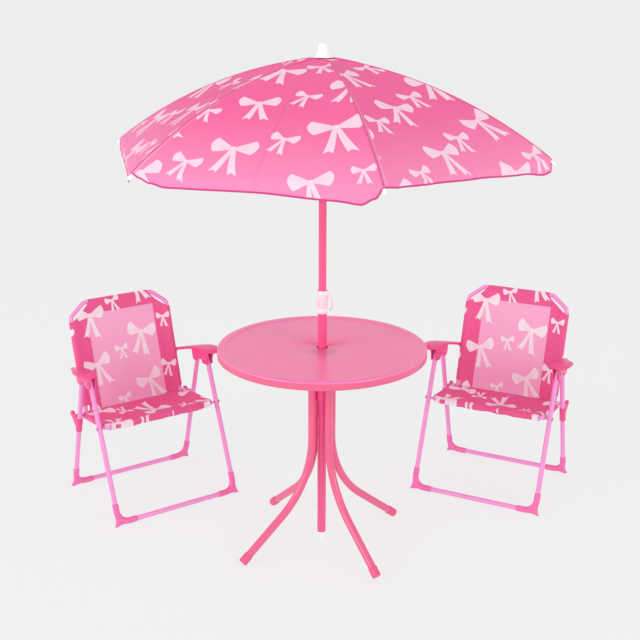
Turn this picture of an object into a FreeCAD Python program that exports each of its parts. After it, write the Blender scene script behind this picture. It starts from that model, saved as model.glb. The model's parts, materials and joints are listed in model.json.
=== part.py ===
"""Children's folding table and chair set: a round table, a parasol and two folding chairs.

Millimetres, +Z up. The origin is the middle of the parasol pole's tip, on the floor.
X runs to the right of the table and Y away from the front of the set.
"""
import FreeCAD
import Part
import Sketcher
import math
import os

from FreeCAD import Placement, Rotation, Vector

SIZES = {
    # table
    "top_diameter": 500.0, "top_height": 517.0, "top_rim": 20.0, "top_sheet": 1.5,
    "bead_width": 18.0, "bead_rise": 2.5, "top_hole": 27.0,
    "hub_diameter": 124.0, "hub_plate": 4.0, "peg_length": 36.0,
    "socket_length": 168.0, "socket_neck": 42.0,
    "leg_tube": 19.0, "leg_wall": 1.2, "leg_ring": 29.0, "leg_bend": 240.0,
    "leg_bend_height": 285.0, "leg_slope": 38.5, "leg_turn": 34.5,
    "cap_length": 24.0, "cap_wall": 1.3, "cap_end": 2.5, "screw_diameter": 5.0,
    # parasol pole
    "pole_tube": 21.4, "pole_wall": 1.1, "pole_height": 640.0, "tip_length": 26.0,
    "mast_tube": 18.5, "mast_wall": 1.0, "mast_overlap": 210.0, "mast_top": 1184.0,
    "collar_diameter": 25.6, "collar_height": 599.0, "collar_length": 56.0,
    "lever_width": 8.0, "lever_turn": 12.7, "pin_diameter": 2.0,
    # parasol frame
    "rib_turn": -17.3, "rib_wire": 4.0, "rib_pivot_radius": 24.0, "rib_pivot_height": 1180.0,
    "rib_tip_radius": 505.0, "rib_tip_height": 983.0, "rib_bow": 33.0, "rib_eye": 7.0,
    "stretcher_wire": 3.4, "stretcher_reach": 216.0, "runner_pivot_radius": 20.0,
    "runner_height": 1065.0, "runner_length": 46.0, "cap_reach": 14.0,
    # canopy
    "cloth": 2.0, "cloth_gap": 1.8, "valance_drop": 21.0, "valance_corner": 42.0,
    "finial_height": 32.0, "finial_flange": 44.0,
    # chairs
    "chair_tube": 13.0, "chair_wall": 1.2, "seat_tube": 12.0, "seat_wall": 1.0,
    "leg_half_width": 172.0, "foot_reach": 144.5, "foot_height": 8.0, "foot_bend": 30.0,
    "front_pivot_x": 10.5, "front_pivot_z": 354.0, "leg_end": 8.0,
    "rear_pivot_x": -45.0, "rear_pivot_z": 344.0,
    "seat_pivot_z": 240.0, "seat_half_width": 155.5, "seat_front_x": 62.0, "seat_bend": 14.0,
    "arm_span": 158.5, "arm_drop": 15.0,
    "back_half_width": 143.0, "back_lean": 14.9, "back_length": 297.0, "back_corner": 34.0,
    "back_corner_width": 42.0, "back_bend": 16.0,
    "corner_length": 50.0, "corner_wall": 1.6, "toe_reach": 11.0, "toe_thickness": 11.0,
    "sling": 3.0, "sleeve": 1.3, "sling_foot": 22.0, "sling_corner_gap": 7.0,
    "arm_plate": 8.0, "arm_wall": 2.5, "arm_lift": 11.0, "arm_cheek": 26.0,
    "rivet_diameter": 5.0, "bolt_diameter": 6.0, "bracket_length": 42.0, "bracket_wall": 2.1,
}
RUNNING = 0.1       # radial clearance of a pin in its hole
SLIDING = 0.35      # radial clearance of a tube or sleeve that slides
SEATED = 0.05       # radial clearance of what is fixed inside or over a tube
SIDE = 0.4          # gap beside a moving piece
HUB_MARGIN = 4.0    # how far a slotted hub reaches past its pins
PIN_HOLD = 1.0      # how deep the ends of a pin sit in the walls beside it
EYE_WALL = 0.9      # wall left around a stretcher's upper eye
THROUGH = 40.0      # more than any wall a cutting tool has to pass
RIBS = 6
LEGS = 4
CHAIRS = {"left_chair": (-465.2, 284.0, -55.3), "right_chair": (476.5, 346.2, -116.6)}
UP = Vector(0, 0, 1)

doc = FreeCAD.newDocument("kids_table_and_chairs")
sheet = doc.addObject("Spreadsheet::Sheet", "Dim")
for row, (alias, value) in enumerate(SIZES.items(), start=1):
    sheet.set(f"A{row}", alias)
    sheet.set(f"B{row}", str(value))
    sheet.setAlias(f"B{row}", alias)
doc.recompute()


class Dimensions:
    """Reads a size from the sheet by its alias."""

    def __getattr__(self, alias):
        return float(getattr(sheet, alias))


dim = Dimensions()
pieces = []


def named(item, label, place=None):
    """Gives a finished piece its node name and moves it to its place."""
    item.Label = label
    if place is not None:
        item.Placement = place.multiply(item.Placement)
    pieces.append(item)
    return item


def feature(label, shape, place=None):
    """A piece whose shape comes from sweeps and cuts."""
    item = doc.addObject("Part::Feature", label)
    item.Shape = shape
    return named(item, label, place)


def turned_about(angle, x=0.0, y=0.0, z=0.0):
    """A place turned about the vertical."""
    return Placement(Vector(x, y, z), Rotation(UP, angle))


# ---------------------------------------------------------------- sketched pieces

def origin_plane(body, role):
    """One of the body's own origin planes."""
    return next(item for item in body.Origin.OriginFeatures if item.Role == role)


def outline(body, role, points):
    """A closed sketch through points given as pairs of sheet expressions."""
    sketch = body.newObject("Sketcher::SketchObject", body.Name + "_outline")
    sketch.AttachmentSupport = [(origin_plane(body, role), "")]
    sketch.MapMode = "FlatFace"
    corners = [Vector(sheet.evalExpression(across), sheet.evalExpression(up), 0)
               for across, up in points]
    count = len(corners)
    for index in range(count):
        sketch.addGeometry(Part.LineSegment(corners[index], corners[(index + 1) % count]), False)
    for index in range(count):
        sketch.addConstraint(Sketcher.Constraint("Coincident", index, 2, (index + 1) % count, 1))
    for index, (across, up) in enumerate(points):
        for kind, text, value in (("DistanceX", across, corners[index].x),
                                  ("DistanceY", up, corners[index].y)):
            if abs(value) < 1e-9:
                sketch.addConstraint(Sketcher.Constraint(
                    "PointOnObject", index, 1, -2 if kind == "DistanceX" else -1))
                continue
            number = sketch.addConstraint(Sketcher.Constraint(kind, -1, 1, index, 1, value))
            sketch.setExpression(f"Constraints[{number}]", text)
    return sketch


def turned(label, points, place=None):
    """A PartDesign body turned about Z from an outline in its XZ plane."""
    body = doc.addObject("PartDesign::Body", label)
    sketch = outline(body, "XZ_Plane", points)
    turning = body.newObject("PartDesign::Revolution", label + "_turning")
    turning.Profile = sketch
    turning.ReferenceAxis = (sketch, ["V_Axis"])
    turning.Angle = 360.0
    doc.recompute()
    return named(body, label, place)


def pipe_piece(label, outer, bore, low, length):
    """A straight tube on the pole's axis, as one cylinder cut from another."""
    shells = []
    for name, radius in (("outside", outer), ("bore", bore)):
        rod = doc.addObject("Part::Cylinder", f"{label}_{name}")
        rod.setExpression("Radius", radius)
        rod.setExpression("Height", length)
        rod.setExpression("Placement.Base.z", low)
        shells.append(rod)
    tube = doc.addObject("Part::Cut", label)
    tube.Base, tube.Tool = shells
    doc.recompute()
    return named(tube, label)


# ---------------------------------------------------------------- swept pieces

def bent_path(points, radius):
    """Straight runs joined by tangent arcs of one radius."""
    edges = []
    start = points[0]
    for before, corner, after in zip(points, points[1:], points[2:]):
        back = (before - corner).normalize()
        ahead = (after - corner).normalize()
        half = back.getAngle(ahead) / 2
        middle = (back + ahead).normalize()
        first = corner + back * (radius / math.tan(half))
        last = corner + ahead * (radius / math.tan(half))
        crown = corner + middle * (radius / math.sin(half) - radius)
        edges.append(Part.LineSegment(start, first).toShape())
        edges.append(Part.Arc(first, crown, last).toShape())
        start = last
    edges.append(Part.LineSegment(start, points[-1]).toShape())
    return Part.Wire(edges)


def swept_rod(path, radius):
    """A round rod along a path."""
    first = path.OrderedEdges[0]
    tangent = first.tangentAt(first.FirstParameter)
    ring = Part.Wire(Part.makeCircle(radius, path.OrderedVertexes[0].Point, tangent))
    return path.makePipeShell([ring], True, False)


def swept_tube(path, radius, wall):
    """A round tube along a path."""
    return swept_rod(path, radius).cut(swept_rod(path, radius - wall))


def rod(radius, start, end):
    """A straight round bar from one point to another."""
    return Part.makeCylinder(radius, (end - start).Length, start, end - start)


def block(low, high):
    """A box between two corners."""
    size = high - low
    return Part.makeBox(size.x, size.y, size.z, low)


def round_edges(shape):
    """The circular edges of a shape."""
    return [edge for edge in shape.Edges if edge.Curve.TypeId == "Part::GeomCircle"]


def prism(points, depth):
    """A flat plate: closed outline pushed along a vector."""
    return Part.Face(Part.makePolygon(points + points[:1])).extrude(depth)


def mirrored(shape):
    """The same solid on the other side of a chair."""
    return shape.mirror(Vector(0, 0, 0), Vector(0, 1, 0))


def pair(shape):
    """A solid and its mirror image, as one group."""
    return Part.makeCompound([shape, mirrored(shape)])


# ---------------------------------------------------------------- table

def table_top():
    """Pressed sheet disc with a raised bead round the edge and a turned-down rim."""
    edge = "Dim.top_diameter / 2"
    flat = "(Dim.top_height - Dim.bead_rise)"
    bead = f"({edge} - Dim.bead_width)"
    turned("table_top", [
        ("Dim.top_hole / 2", flat),
        (f"{bead} - 2", flat),
        (f"{bead} + 2", "Dim.top_height"),
        (f"{edge} - 5", "Dim.top_height"),
        (f"{edge} - 1.2", "Dim.top_height - 1.6"),
        (edge, "Dim.top_height - 5"),
        (edge, "Dim.top_height - Dim.top_rim"),
        (f"{edge} - Dim.top_sheet", "Dim.top_height - Dim.top_rim"),
        (f"{edge} - Dim.top_sheet", "Dim.top_height - 5.6"),
        (f"{edge} - 5", "Dim.top_height - Dim.top_sheet"),
        (f"{bead} + 2.6", "Dim.top_height - Dim.top_sheet"),
        (f"{bead} - 1.4", f"{flat} - Dim.top_sheet"),
        ("Dim.top_hole / 2", f"{flat} - Dim.top_sheet"),
    ])


def hub_top():
    """Height of the underside of the table top, where the hub plate sits."""
    return dim.top_height - dim.bead_rise - dim.top_sheet


def leg_angles():
    """The directions that the table legs point in."""
    return [dim.leg_turn + index * 360.0 / LEGS for index in range(LEGS)]


def screw_height():
    """Height of the screws that hold the legs on the hub's pegs."""
    return hub_top() - dim.hub_plate - dim.peg_length / 2


def table_hub():
    """Plate under the top with a peg for each leg."""
    low = Vector(0, 0, hub_top() - dim.hub_plate)
    plate = Part.makeCylinder(dim.hub_diameter / 2, dim.hub_plate, low)
    plate = plate.cut(Part.makeCylinder(dim.top_hole / 2, dim.top_height))
    peg_radius = dim.leg_tube / 2 - dim.leg_wall - SEATED
    for angle in leg_angles():
        foot = Vector(dim.leg_ring, 0, hub_top() - dim.hub_plate - dim.peg_length)
        peg = Part.makeCylinder(peg_radius, dim.peg_length, foot)
        hole = rod(dim.screw_diameter / 2 + SEATED, Vector(dim.leg_ring, 0, screw_height()),
                   Vector(dim.leg_ring + dim.leg_tube, 0, screw_height()))
        peg = peg.cut(hole)
        peg.rotate(Vector(), UP, angle)
        plate = plate.fuse(peg)
    feature("table_hub", plate.removeSplitter())


def pole_socket():
    """Sleeve between the legs that the pole drops through."""
    top = "(Dim.top_height - Dim.bead_rise - Dim.top_sheet - Dim.hub_plate)"
    body = "(Dim.leg_ring - Dim.leg_tube / 2 - 0.6)"
    bore = "(Dim.pole_tube / 2 + 0.4)"
    turned("pole_socket", [
        (bore, top),
        (body, top),
        (body, f"{top} - Dim.socket_length + Dim.socket_neck"),
        (f"{body} - 4", f"{top} - Dim.socket_length + Dim.socket_neck - 3"),
        (f"{body} - 4", f"{top} - Dim.socket_length"),
        (bore, f"{top} - Dim.socket_length"),
    ])


def leg_line():
    """End points of a leg's centreline in its own vertical plane, and the unit vector down its foot."""
    slope = math.radians(dim.leg_slope)
    down = Vector(math.cos(slope), 0, -math.sin(slope))
    top = Vector(dim.leg_ring, 0, hub_top() - dim.hub_plate)
    turn = math.pi / 2 - slope
    corner = Vector(dim.leg_ring, 0, dim.leg_bend_height - dim.leg_bend * math.tan(turn / 2))
    cap_radius = dim.leg_tube / 2 + dim.cap_wall
    tread = cap_radius * math.cos(slope)
    reach = (corner.z - tread) / math.sin(slope)
    return top, corner, corner + down * reach, down


def table_legs():
    """Four bent tubes, their caps and their screws."""
    top, corner, end, down = leg_line()
    tube_end = end - down * dim.cap_end
    path = bent_path([top, corner, tube_end], dim.leg_bend)
    tube = swept_tube(path, dim.leg_tube / 2, dim.leg_wall)
    outside = Vector(dim.leg_ring + dim.leg_tube / 2, 0, screw_height())
    inside = Vector(dim.leg_ring + 1, 0, screw_height())
    tube = tube.cut(rod(dim.screw_diameter / 2 + SEATED, inside, outside + Vector(4, 0, 0)))
    cap = rod(dim.leg_tube / 2 + dim.cap_wall, end - down * dim.cap_length, end)
    lower_edge = [edge for edge in round_edges(cap) if (edge.Curve.Center - end).Length < 0.1]
    cap = cap.makeFillet(1.5, lower_edge)
    cap = cap.cut(rod(dim.leg_tube / 2 + SEATED, end - down * (dim.cap_length + 1), tube_end))
    screw = rod(dim.screw_diameter / 2, inside, outside + Vector(0.2, 0, 0))
    head = rod(dim.screw_diameter * 0.9, outside + Vector(0.2, 0, 0), outside + Vector(3, 0, 0))
    screw = screw.fuse(head)
    caps, screws = [], []
    for number, angle in enumerate(leg_angles(), start=1):
        feature(f"table_leg_{number}", tube, turned_about(angle))
        for group, solid in ((caps, cap), (screws, screw)):
            copy = solid.copy()
            copy.rotate(Vector(), UP, angle)
            group.append(copy)
    feature("table_leg_caps", Part.makeCompound(caps))
    feature("table_screws", Part.makeCompound(screws))


# ---------------------------------------------------------------- parasol pole

def poles():
    """Lower pole, tip, collar and upper pole."""
    pipe_piece("lower_pole", "Dim.pole_tube / 2", "Dim.pole_tube / 2 - Dim.pole_wall",
               "Dim.tip_length", "Dim.pole_height - Dim.tip_length")
    bore = "(Dim.pole_tube / 2 - Dim.pole_wall - 0.05)"
    turned("pole_tip", [
        ("0", "0"), ("2.5", "0"), ("Dim.pole_tube / 2 - 1", "Dim.tip_length - 6"),
        ("Dim.pole_tube / 2", "Dim.tip_length - 4"), ("Dim.pole_tube / 2", "Dim.tip_length"),
        (bore, "Dim.tip_length"), (bore, "Dim.tip_length + 18"), ("0", "Dim.tip_length + 18"),
    ])
    pipe_piece("upper_pole", "Dim.mast_tube / 2", "Dim.mast_tube / 2 - Dim.mast_wall",
               "Dim.pole_height - Dim.mast_overlap",
               "Dim.mast_top - Dim.pole_height + Dim.mast_overlap")


# radius from the pole and height above the pivot of the lever's side view
LEVER_OUTLINE = [(15, 3.4), (18.5, 3.4), (23, 1), (27.5, -9), (29, -21), (26, -31), (20, -37),
                 (16.5, -37), (16.5, -33), (21, -30), (24, -22), (22.5, -11), (19, -5), (14, -4), (13.6, 2)]


def collar():
    """Locking collar on the lower pole with two ears, and the hooked lever that hangs between them."""
    low = dim.collar_height
    high = low + dim.collar_length
    outer = dim.collar_diameter / 2
    sleeve = Part.makeCylinder(outer, dim.collar_length, Vector(0, 0, low))
    sleeve = sleeve.makeFillet(1.2, round_edges(sleeve))
    ear_low = Vector(outer - 1, dim.lever_width / 2 + SIDE, high - 22)
    ear = block(ear_low, ear_low + Vector(9.5, 2.6, 14))
    sleeve = sleeve.fuse([ear, mirrored(ear)])
    pivot = Vector(17, 0, high - 15)
    across = Vector(0, dim.lever_width / 2 + SIDE + 2.6, 0)
    sleeve = sleeve.fuse(rod(1.5, pivot - across, pivot + across))
    sleeve = sleeve.cut(Part.makeCylinder(dim.pole_tube / 2 + SEATED, dim.pole_height))
    sleeve = sleeve.cut(Part.makeCylinder(dim.mast_tube / 2 + SLIDING, high))
    feature("pole_collar", sleeve, turned_about(dim.lever_turn))
    half = Vector(0, dim.lever_width / 2, 0)
    points = [pivot + Vector(radius - 17, 0, up) - half for radius, up in LEVER_OUTLINE]
    lever = prism(points, half * 2).cut(rod(1.5 + RUNNING, pivot - across, pivot + across))
    feature("collar_lever", lever, turned_about(dim.lever_turn))


# ---------------------------------------------------------------- parasol frame

def rib_angles():
    """The directions that the ribs point in."""
    return [dim.rib_turn + index * 360.0 / RIBS for index in range(RIBS)]


def rib_ends():
    """Pivot and tip of a rib's centreline in its own vertical plane."""
    return (Vector(dim.rib_pivot_radius, 0, dim.rib_pivot_height),
            Vector(dim.rib_tip_radius, 0, dim.rib_tip_height))


def rib_centre():
    """Centre of the circle that a rib is bent to."""
    start, end = rib_ends()
    chord = end - start
    normal = Vector(-chord.z, 0, chord.x).normalize()
    radius = (chord.Length ** 2 / 4 + dim.rib_bow ** 2) / (2 * dim.rib_bow)
    return start + chord * 0.5 + normal * (dim.rib_bow - radius)


def rib_arc(offset=0.0):
    """Centreline of a rib in its own vertical plane, or a curve that far outside it."""
    start, end = rib_ends()
    middle = (start + end) * 0.5
    centre = rib_centre()
    radius = (start - centre).Length + offset
    points = [centre + (point - centre).normalize() * radius for point in (start, middle, end)]
    return Part.Arc(*points)


def stretcher_joint():
    """Where a stretcher meets its rib with the parasol open."""
    arc = rib_arc()
    start = rib_ends()[0]
    points = arc.discretize(400)
    return next(point for point in points if (point - start).Length >= dim.stretcher_reach)


def slotted_hub(profile_radius, low, high, pivot, bore, shift, slot):
    """A hub with a slot and a cross pin for each arm that hinges on it."""
    hub = Part.makeCylinder(profile_radius, high - low, Vector(0, 0, low))
    pins = []
    for angle in rib_angles():
        cut = block(Vector(pivot.x - 6, shift - slot / 2, low - 1),
                    Vector(profile_radius + 5, shift + slot / 2, high + 1))
        pin = rod(dim.pin_diameter / 2, pivot + Vector(0, shift - slot / 2 - PIN_HOLD, 0),
                  pivot + Vector(0, shift + slot / 2 + PIN_HOLD, 0))
        for solid in (cut, pin):
            solid.rotate(Vector(), UP, angle)
        hub = hub.cut(cut)
        pins.append(pin)
    hub = hub.fuse(pins)
    return hub.cut(Part.makeCylinder(bore, dim.finial_height + dim.mast_top))


def lateral_shift():
    """How far a stretcher lies beside its rib."""
    return (dim.rib_wire + dim.stretcher_wire) / 2 + SIDE


def crown_and_finial():
    """Hub at the top of the mast that carries the ribs, and the knob that clamps the cloth on it."""
    pivot = Vector(dim.rib_pivot_radius, 0, dim.rib_pivot_height)
    slot = dim.rib_wire + 2 + 2 * SIDE
    bore = dim.mast_tube / 2 + SEATED
    hub = slotted_hub(pivot.x + HUB_MARGIN, pivot.z - 8, pivot.z + 1.5, pivot, bore, 0.0, slot)
    feature("crown", hub)
    base = "(Dim.mast_top + Dim.cloth)"
    turned("finial", [
        ("0", base), ("Dim.finial_flange / 2", base), ("Dim.finial_flange / 2", f"{base} + 2"),
        ("16.5", f"{base} + 6"), ("13.5", f"{base} + 13"), ("12", f"{base} + Dim.finial_height - 9"),
        ("10.5", f"{base} + Dim.finial_height - 3.5"), ("6", f"{base} + Dim.finial_height - 0.6"),
        ("0", f"{base} + Dim.finial_height"),
    ])


def runner():
    """Sleeve that slides on the mast and carries the stretchers."""
    pivot = Vector(dim.runner_pivot_radius, 0, dim.runner_height)
    bore = dim.mast_tube / 2 + SLIDING
    slot = dim.stretcher_wire + 1.6 + 2 * SIDE
    half = 5.0
    hub = slotted_hub(pivot.x + HUB_MARGIN, pivot.z - half, pivot.z + half, pivot, bore,
                      -lateral_shift(), slot)
    foot = Vector(0, 0, dim.runner_height - half - dim.runner_length)
    sleeve = Part.makeCylinder(bore + 2.6, dim.runner_length, foot)
    grip = Part.makeCylinder(bore + 5.5, 4, foot)
    sleeve = sleeve.fuse(grip).cut(Part.makeCylinder(bore, dim.mast_top))
    feature("runner", hub.fuse(sleeve).removeSplitter())


def eye(centre, radius, width):
    """A round eye with a pin hole across an arm's plane."""
    half = Vector(0, width / 2, 0)
    return rod(radius, centre - half, centre + half)


def ribs():
    """Six bowed wire ribs with an eye at the crown, six stretchers beside them and six rib tips."""
    arc = rib_arc()
    start, end = rib_ends()
    hole = dim.pin_diameter / 2 + RUNNING
    wide = Vector(0, THROUGH, 0)
    wire = swept_rod(Part.Wire(arc.toShape()), dim.rib_wire / 2)
    rib = wire.fuse(eye(start, dim.rib_eye / 2, dim.rib_wire + 2))
    rib = rib.cut(rod(hole, start - wide, start + wide))

    joint = stretcher_joint()
    foot = Vector(dim.runner_pivot_radius, 0, dim.runner_height)
    aside = Vector(0, -lateral_shift(), 0)
    bar = rod(dim.stretcher_wire / 2, foot, joint)
    bar = bar.fuse([eye(foot, dim.rib_eye / 2 - 0.5, dim.stretcher_wire + 1.6),
                    eye(joint, dim.stretcher_wire / 2 + EYE_WALL, dim.stretcher_wire)])
    bar = bar.cut([rod(hole, foot - wide, foot + wide), rod(hole, joint - wide, joint + wide)])
    bar.translate(aside)

    radial = (end - rib_centre()).normalize()
    along = Vector(-radial.z, 0, radial.x)
    if along.z > 0:
        along = along * -1
    radius = dim.rib_wire / 2 + dim.cloth_gap - 0.1
    dome = end + along * (dim.cap_reach - radius)
    tip = rod(radius, end - along * 0.6, dome).fuse(Part.makeSphere(radius, dome))
    tip = tip.cut(rod(dim.rib_wire / 2 + SEATED, end - along * 3, end + along * 0.05))
    for number, angle in enumerate(rib_angles(), start=1):
        feature(f"rib_{number}", rib, turned_about(angle))
        feature(f"stretcher_{number}", bar, turned_about(angle))
        feature(f"rib_tip_{number}", tip, turned_about(angle))


# ---------------------------------------------------------------- canopy

def tent(offset, low_drop):
    """Solid under six panels that are straight across from rib to rib."""
    arc = rib_arc(offset)
    inner, outer = arc.StartPoint, arc.EndPoint
    curves = []
    for angle in rib_angles():
        curve = arc.toShape()
        curve.rotate(Vector(), UP, angle)
        curves.append(curve)
    faces = []
    for first, second in zip(curves, curves[1:] + curves[:1]):
        faces.append(Part.makeRuledSurface(first, second))
    rings = {}
    for name, point in (("top", inner), ("hem", outer)):
        ring = [Rotation(UP, angle).multVec(point) for angle in rib_angles()]
        rings[name] = ring
    faces.append(Part.Face(Part.makePolygon(rings["top"] + rings["top"][:1])))
    if low_drop:
        below = [point - UP * low_drop for point in rings["hem"]]
        for index in range(RIBS):
            after = (index + 1) % RIBS
            corners = [rings["hem"][index], rings["hem"][after], below[after], below[index]]
            faces.append(Part.Face(Part.makePolygon(corners + corners[:1])))
        faces.append(Part.Face(Part.makePolygon(below + below[:1])))
    else:
        faces.append(Part.Face(Part.makePolygon(rings["hem"] + rings["hem"][:1])))
    shell = Part.Shell(faces)
    shell.sewShape()
    solid = Part.Solid(shell)
    solid.fix(0.001, 0.001, 0.001)
    return solid


def canopy():
    """Six-panel cloth cover with a short hem flap on each side and a hole for the mast."""
    gap = dim.rib_wire / 2 + dim.cloth_gap
    cover = tent(gap + dim.cloth, 0.0).cut(tent(gap, 10.0))
    corner = rib_arc(gap + dim.cloth).EndPoint
    inward = Rotation(UP, 180.0 / RIBS).multVec(Vector(-dim.cloth, 0, 0))
    first = corner
    last = Rotation(UP, 360.0 / RIBS).multVec(corner)
    along = (last - first).normalize()
    drop = UP * -dim.valance_drop
    inset = along * dim.valance_corner
    points = [first, first + inset + drop, last - inset + drop, last]
    flap = prism(points, inward)
    flaps = []
    for angle in rib_angles():
        copy = flap.copy()
        copy.rotate(Vector(), UP, angle)
        flaps.append(copy)
    cover = cover.fuse(flaps)
    cover = cover.cut(Part.makeCylinder(dim.mast_tube / 2 + 1, dim.mast_top * 2))
    feature("canopy", cover)


# ---------------------------------------------------------------- chairs

def chair_points():
    """The pivots and feet of a chair in its own side view, x forward and z up."""
    front_pivot = Vector(dim.front_pivot_x, 0, dim.front_pivot_z)
    front_foot = Vector(dim.foot_reach, 0, dim.foot_height)
    share = (front_pivot.z - dim.seat_pivot_z) / (front_pivot.z - front_foot.z)
    seat_pivot = front_pivot + (front_foot - front_pivot) * share
    span = Vector(-dim.arm_span, 0, -dim.arm_drop)
    return {
        "front_pivot": front_pivot, "front_foot": front_foot,
        "rear_pivot": Vector(dim.rear_pivot_x, 0, dim.rear_pivot_z),
        "rear_foot": Vector(-dim.foot_reach, 0, dim.foot_height),
        "seat_pivot": seat_pivot, "arm_end": front_pivot + span, "seat_end": seat_pivot + span,
    }


def plane_place(origin, upward):
    """A place whose X is the chair's sideways axis and whose Y is a direction in its side view."""
    side = Vector(0, 1, 0)
    normal = side.cross(upward).normalize()
    return Placement(origin, Rotation(side, upward, normal, "XYZ"))


def pin_at(point, inner, outer, radius):
    """A pin across one side of the chair."""
    return rod(radius, Vector(point.x, inner, point.z), Vector(point.x, outer, point.z))


def both_pins(point, inner, outer, radius):
    """The pin and its mirror image, for cutting holes."""
    pin = pin_at(point, inner, outer, radius)
    return [pin, mirrored(pin)]


def u_path(half_width, height, bend):
    """A U standing in its plane, from one upper end down and round to the other."""
    corners = [(half_width, height), (half_width, 0), (-half_width, 0), (-half_width, height)]
    return bent_path([Vector(across, up, 0) for across, up in corners], bend)


def foot_corner(side, slope):
    """Plastic corner that wraps a bend and ends in a pointed toe."""
    half = dim.leg_half_width
    reach = dim.corner_length
    points = [Vector(half, reach, 0), Vector(half, 0, 0), Vector(half - reach, 0, 0)]
    path = bent_path(points, dim.foot_bend)
    outer = dim.chair_tube / 2 + dim.corner_wall
    bore = swept_rod(path, dim.chair_tube / 2 + SEATED)
    thick = dim.toe_thickness / 2
    low = -(dim.foot_height - 0.2 - thick * math.sin(slope)) / math.cos(slope)
    toe_points = [(half + outer - 1, dim.foot_bend - 2), (half + dim.toe_reach, low),
                  (half - dim.foot_bend + 2, low)]
    toe = prism([Vector(across, up, -thick) for across, up in toe_points],
                Vector(0, 0, dim.toe_thickness))
    corner = swept_rod(path, outer).fuse(toe).cut(bore)
    if side < 0:
        corner = corner.mirror(Vector(0, 0, 0), Vector(1, 0, 0))
    return corner


def leg_frame(chair, name, foot, pivot, holes, place):
    """One U-shaped leg frame with its two foot corners."""
    upward = (pivot - foot).normalize()
    height = (pivot - foot).Length + dim.leg_end
    standing = plane_place(foot, upward)
    tube = swept_tube(u_path(dim.leg_half_width, height, dim.foot_bend), dim.chair_tube / 2, dim.chair_wall)
    tube.Placement = standing
    drills = []
    radius = dim.rivet_diameter / 2 + RUNNING
    for point in holes:
        drills += both_pins(point, dim.leg_half_width - 12, dim.leg_half_width + 12, radius)
    tube = tube.cut(drills)
    feature(f"{chair}_{name}_frame", tube, place)
    slope = math.asin(abs(upward.x))
    corners = []
    for side in (1, -1):
        corner = foot_corner(side, slope)
        corner.Placement = standing
        corners.append(corner)
    feature(f"{chair}_{name}_feet", Part.makeCompound(corners), place)


def seat_path(points):
    """Centreline of the seat frame: two rails and the front bar."""
    ahead = (points["seat_pivot"] - points["seat_end"]).normalize()
    front = points["seat_pivot"] + ahead * ((dim.seat_front_x - points["seat_pivot"].x) / ahead.x)
    rail = Vector(0, dim.seat_half_width, 0)
    end = points["seat_end"] - ahead * 7
    return bent_path([end + rail, front + rail, front - rail, end - rail], dim.seat_bend), ahead, front


def seat(chair, points, place):
    """Seat frame, its pivot bolts and its sling."""
    path, ahead, front = seat_path(points)
    radius = dim.seat_tube / 2
    tube = swept_tube(path, radius, dim.seat_wall)
    cross = points["seat_end"] + ahead * 19
    half = Vector(0, dim.seat_half_width, 0)
    tube = tube.fuse(rod(radius - 1.5, cross - half, cross + half).cut(swept_rod(path, radius - 0.3)))
    drills = both_pins(points["seat_pivot"], dim.seat_half_width - 12, dim.seat_half_width + 12,
                       dim.rivet_diameter / 2 + RUNNING)
    drills += both_pins(points["seat_end"], dim.seat_half_width - 8, dim.seat_half_width + 8,
                        dim.bolt_diameter / 2 + SEATED)
    feature(f"{chair}_seat_frame", tube.cut(drills), place)

    inner = dim.back_half_width - radius - 2.5
    bolt = pin_at(points["seat_end"], inner, dim.leg_half_width + 4, dim.bolt_diameter / 2)
    bolt = bolt.fuse(pin_at(points["seat_end"], inner - 2.5, inner, dim.bolt_diameter * 0.8))
    feature(f"{chair}_seat_bolts", pair(bolt), place)

    sleeve_low = points["seat_end"] + ahead * 30
    rail = Vector(0, dim.seat_half_width, 0)
    wrap = bent_path([sleeve_low + rail, front + rail, front - rail, sleeve_low - rail], dim.seat_bend)
    normal = ahead.cross(Vector(0, 1, 0)).normalize()
    sheet_half = normal * (dim.sling / 2)
    rim = [sleeve_low + rail, front + rail - ahead * 2, front - rail - ahead * 2, sleeve_low - rail]
    web = prism([point - sheet_half for point in rim], sheet_half * 2)
    cloth = swept_rod(wrap, radius + dim.sleeve).fuse(web)
    cloth = cloth.cut(swept_rod(path, radius + SEATED))
    hole = both_pins(points["seat_pivot"], dim.seat_half_width - 12, dim.seat_half_width + 12,
                     dim.rivet_diameter / 2 + 1.5)
    feature(f"{chair}_seat_sling", cloth.cut(hole), place)


def arm_tabs(points, upward, margin):
    """Lugs behind the back frame's sides that the armrests hinge on, grown by a margin."""
    end = points["arm_end"]
    behind = end - points["seat_end"]
    foot = points["seat_end"] + upward * behind.dot(upward)
    half = 5.0 + margin
    inner = dim.back_half_width + 3.2 - margin
    thick = 2.8 + 2 * margin
    corners = [foot + upward * half, end + upward * half, end - upward * half, foot - upward * half]
    tab = prism([Vector(corner.x, inner, corner.z) for corner in corners], Vector(0, thick, 0))
    tab = tab.fuse(pin_at(end, inner, inner + thick, half))
    return [tab, mirrored(tab)]


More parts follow.
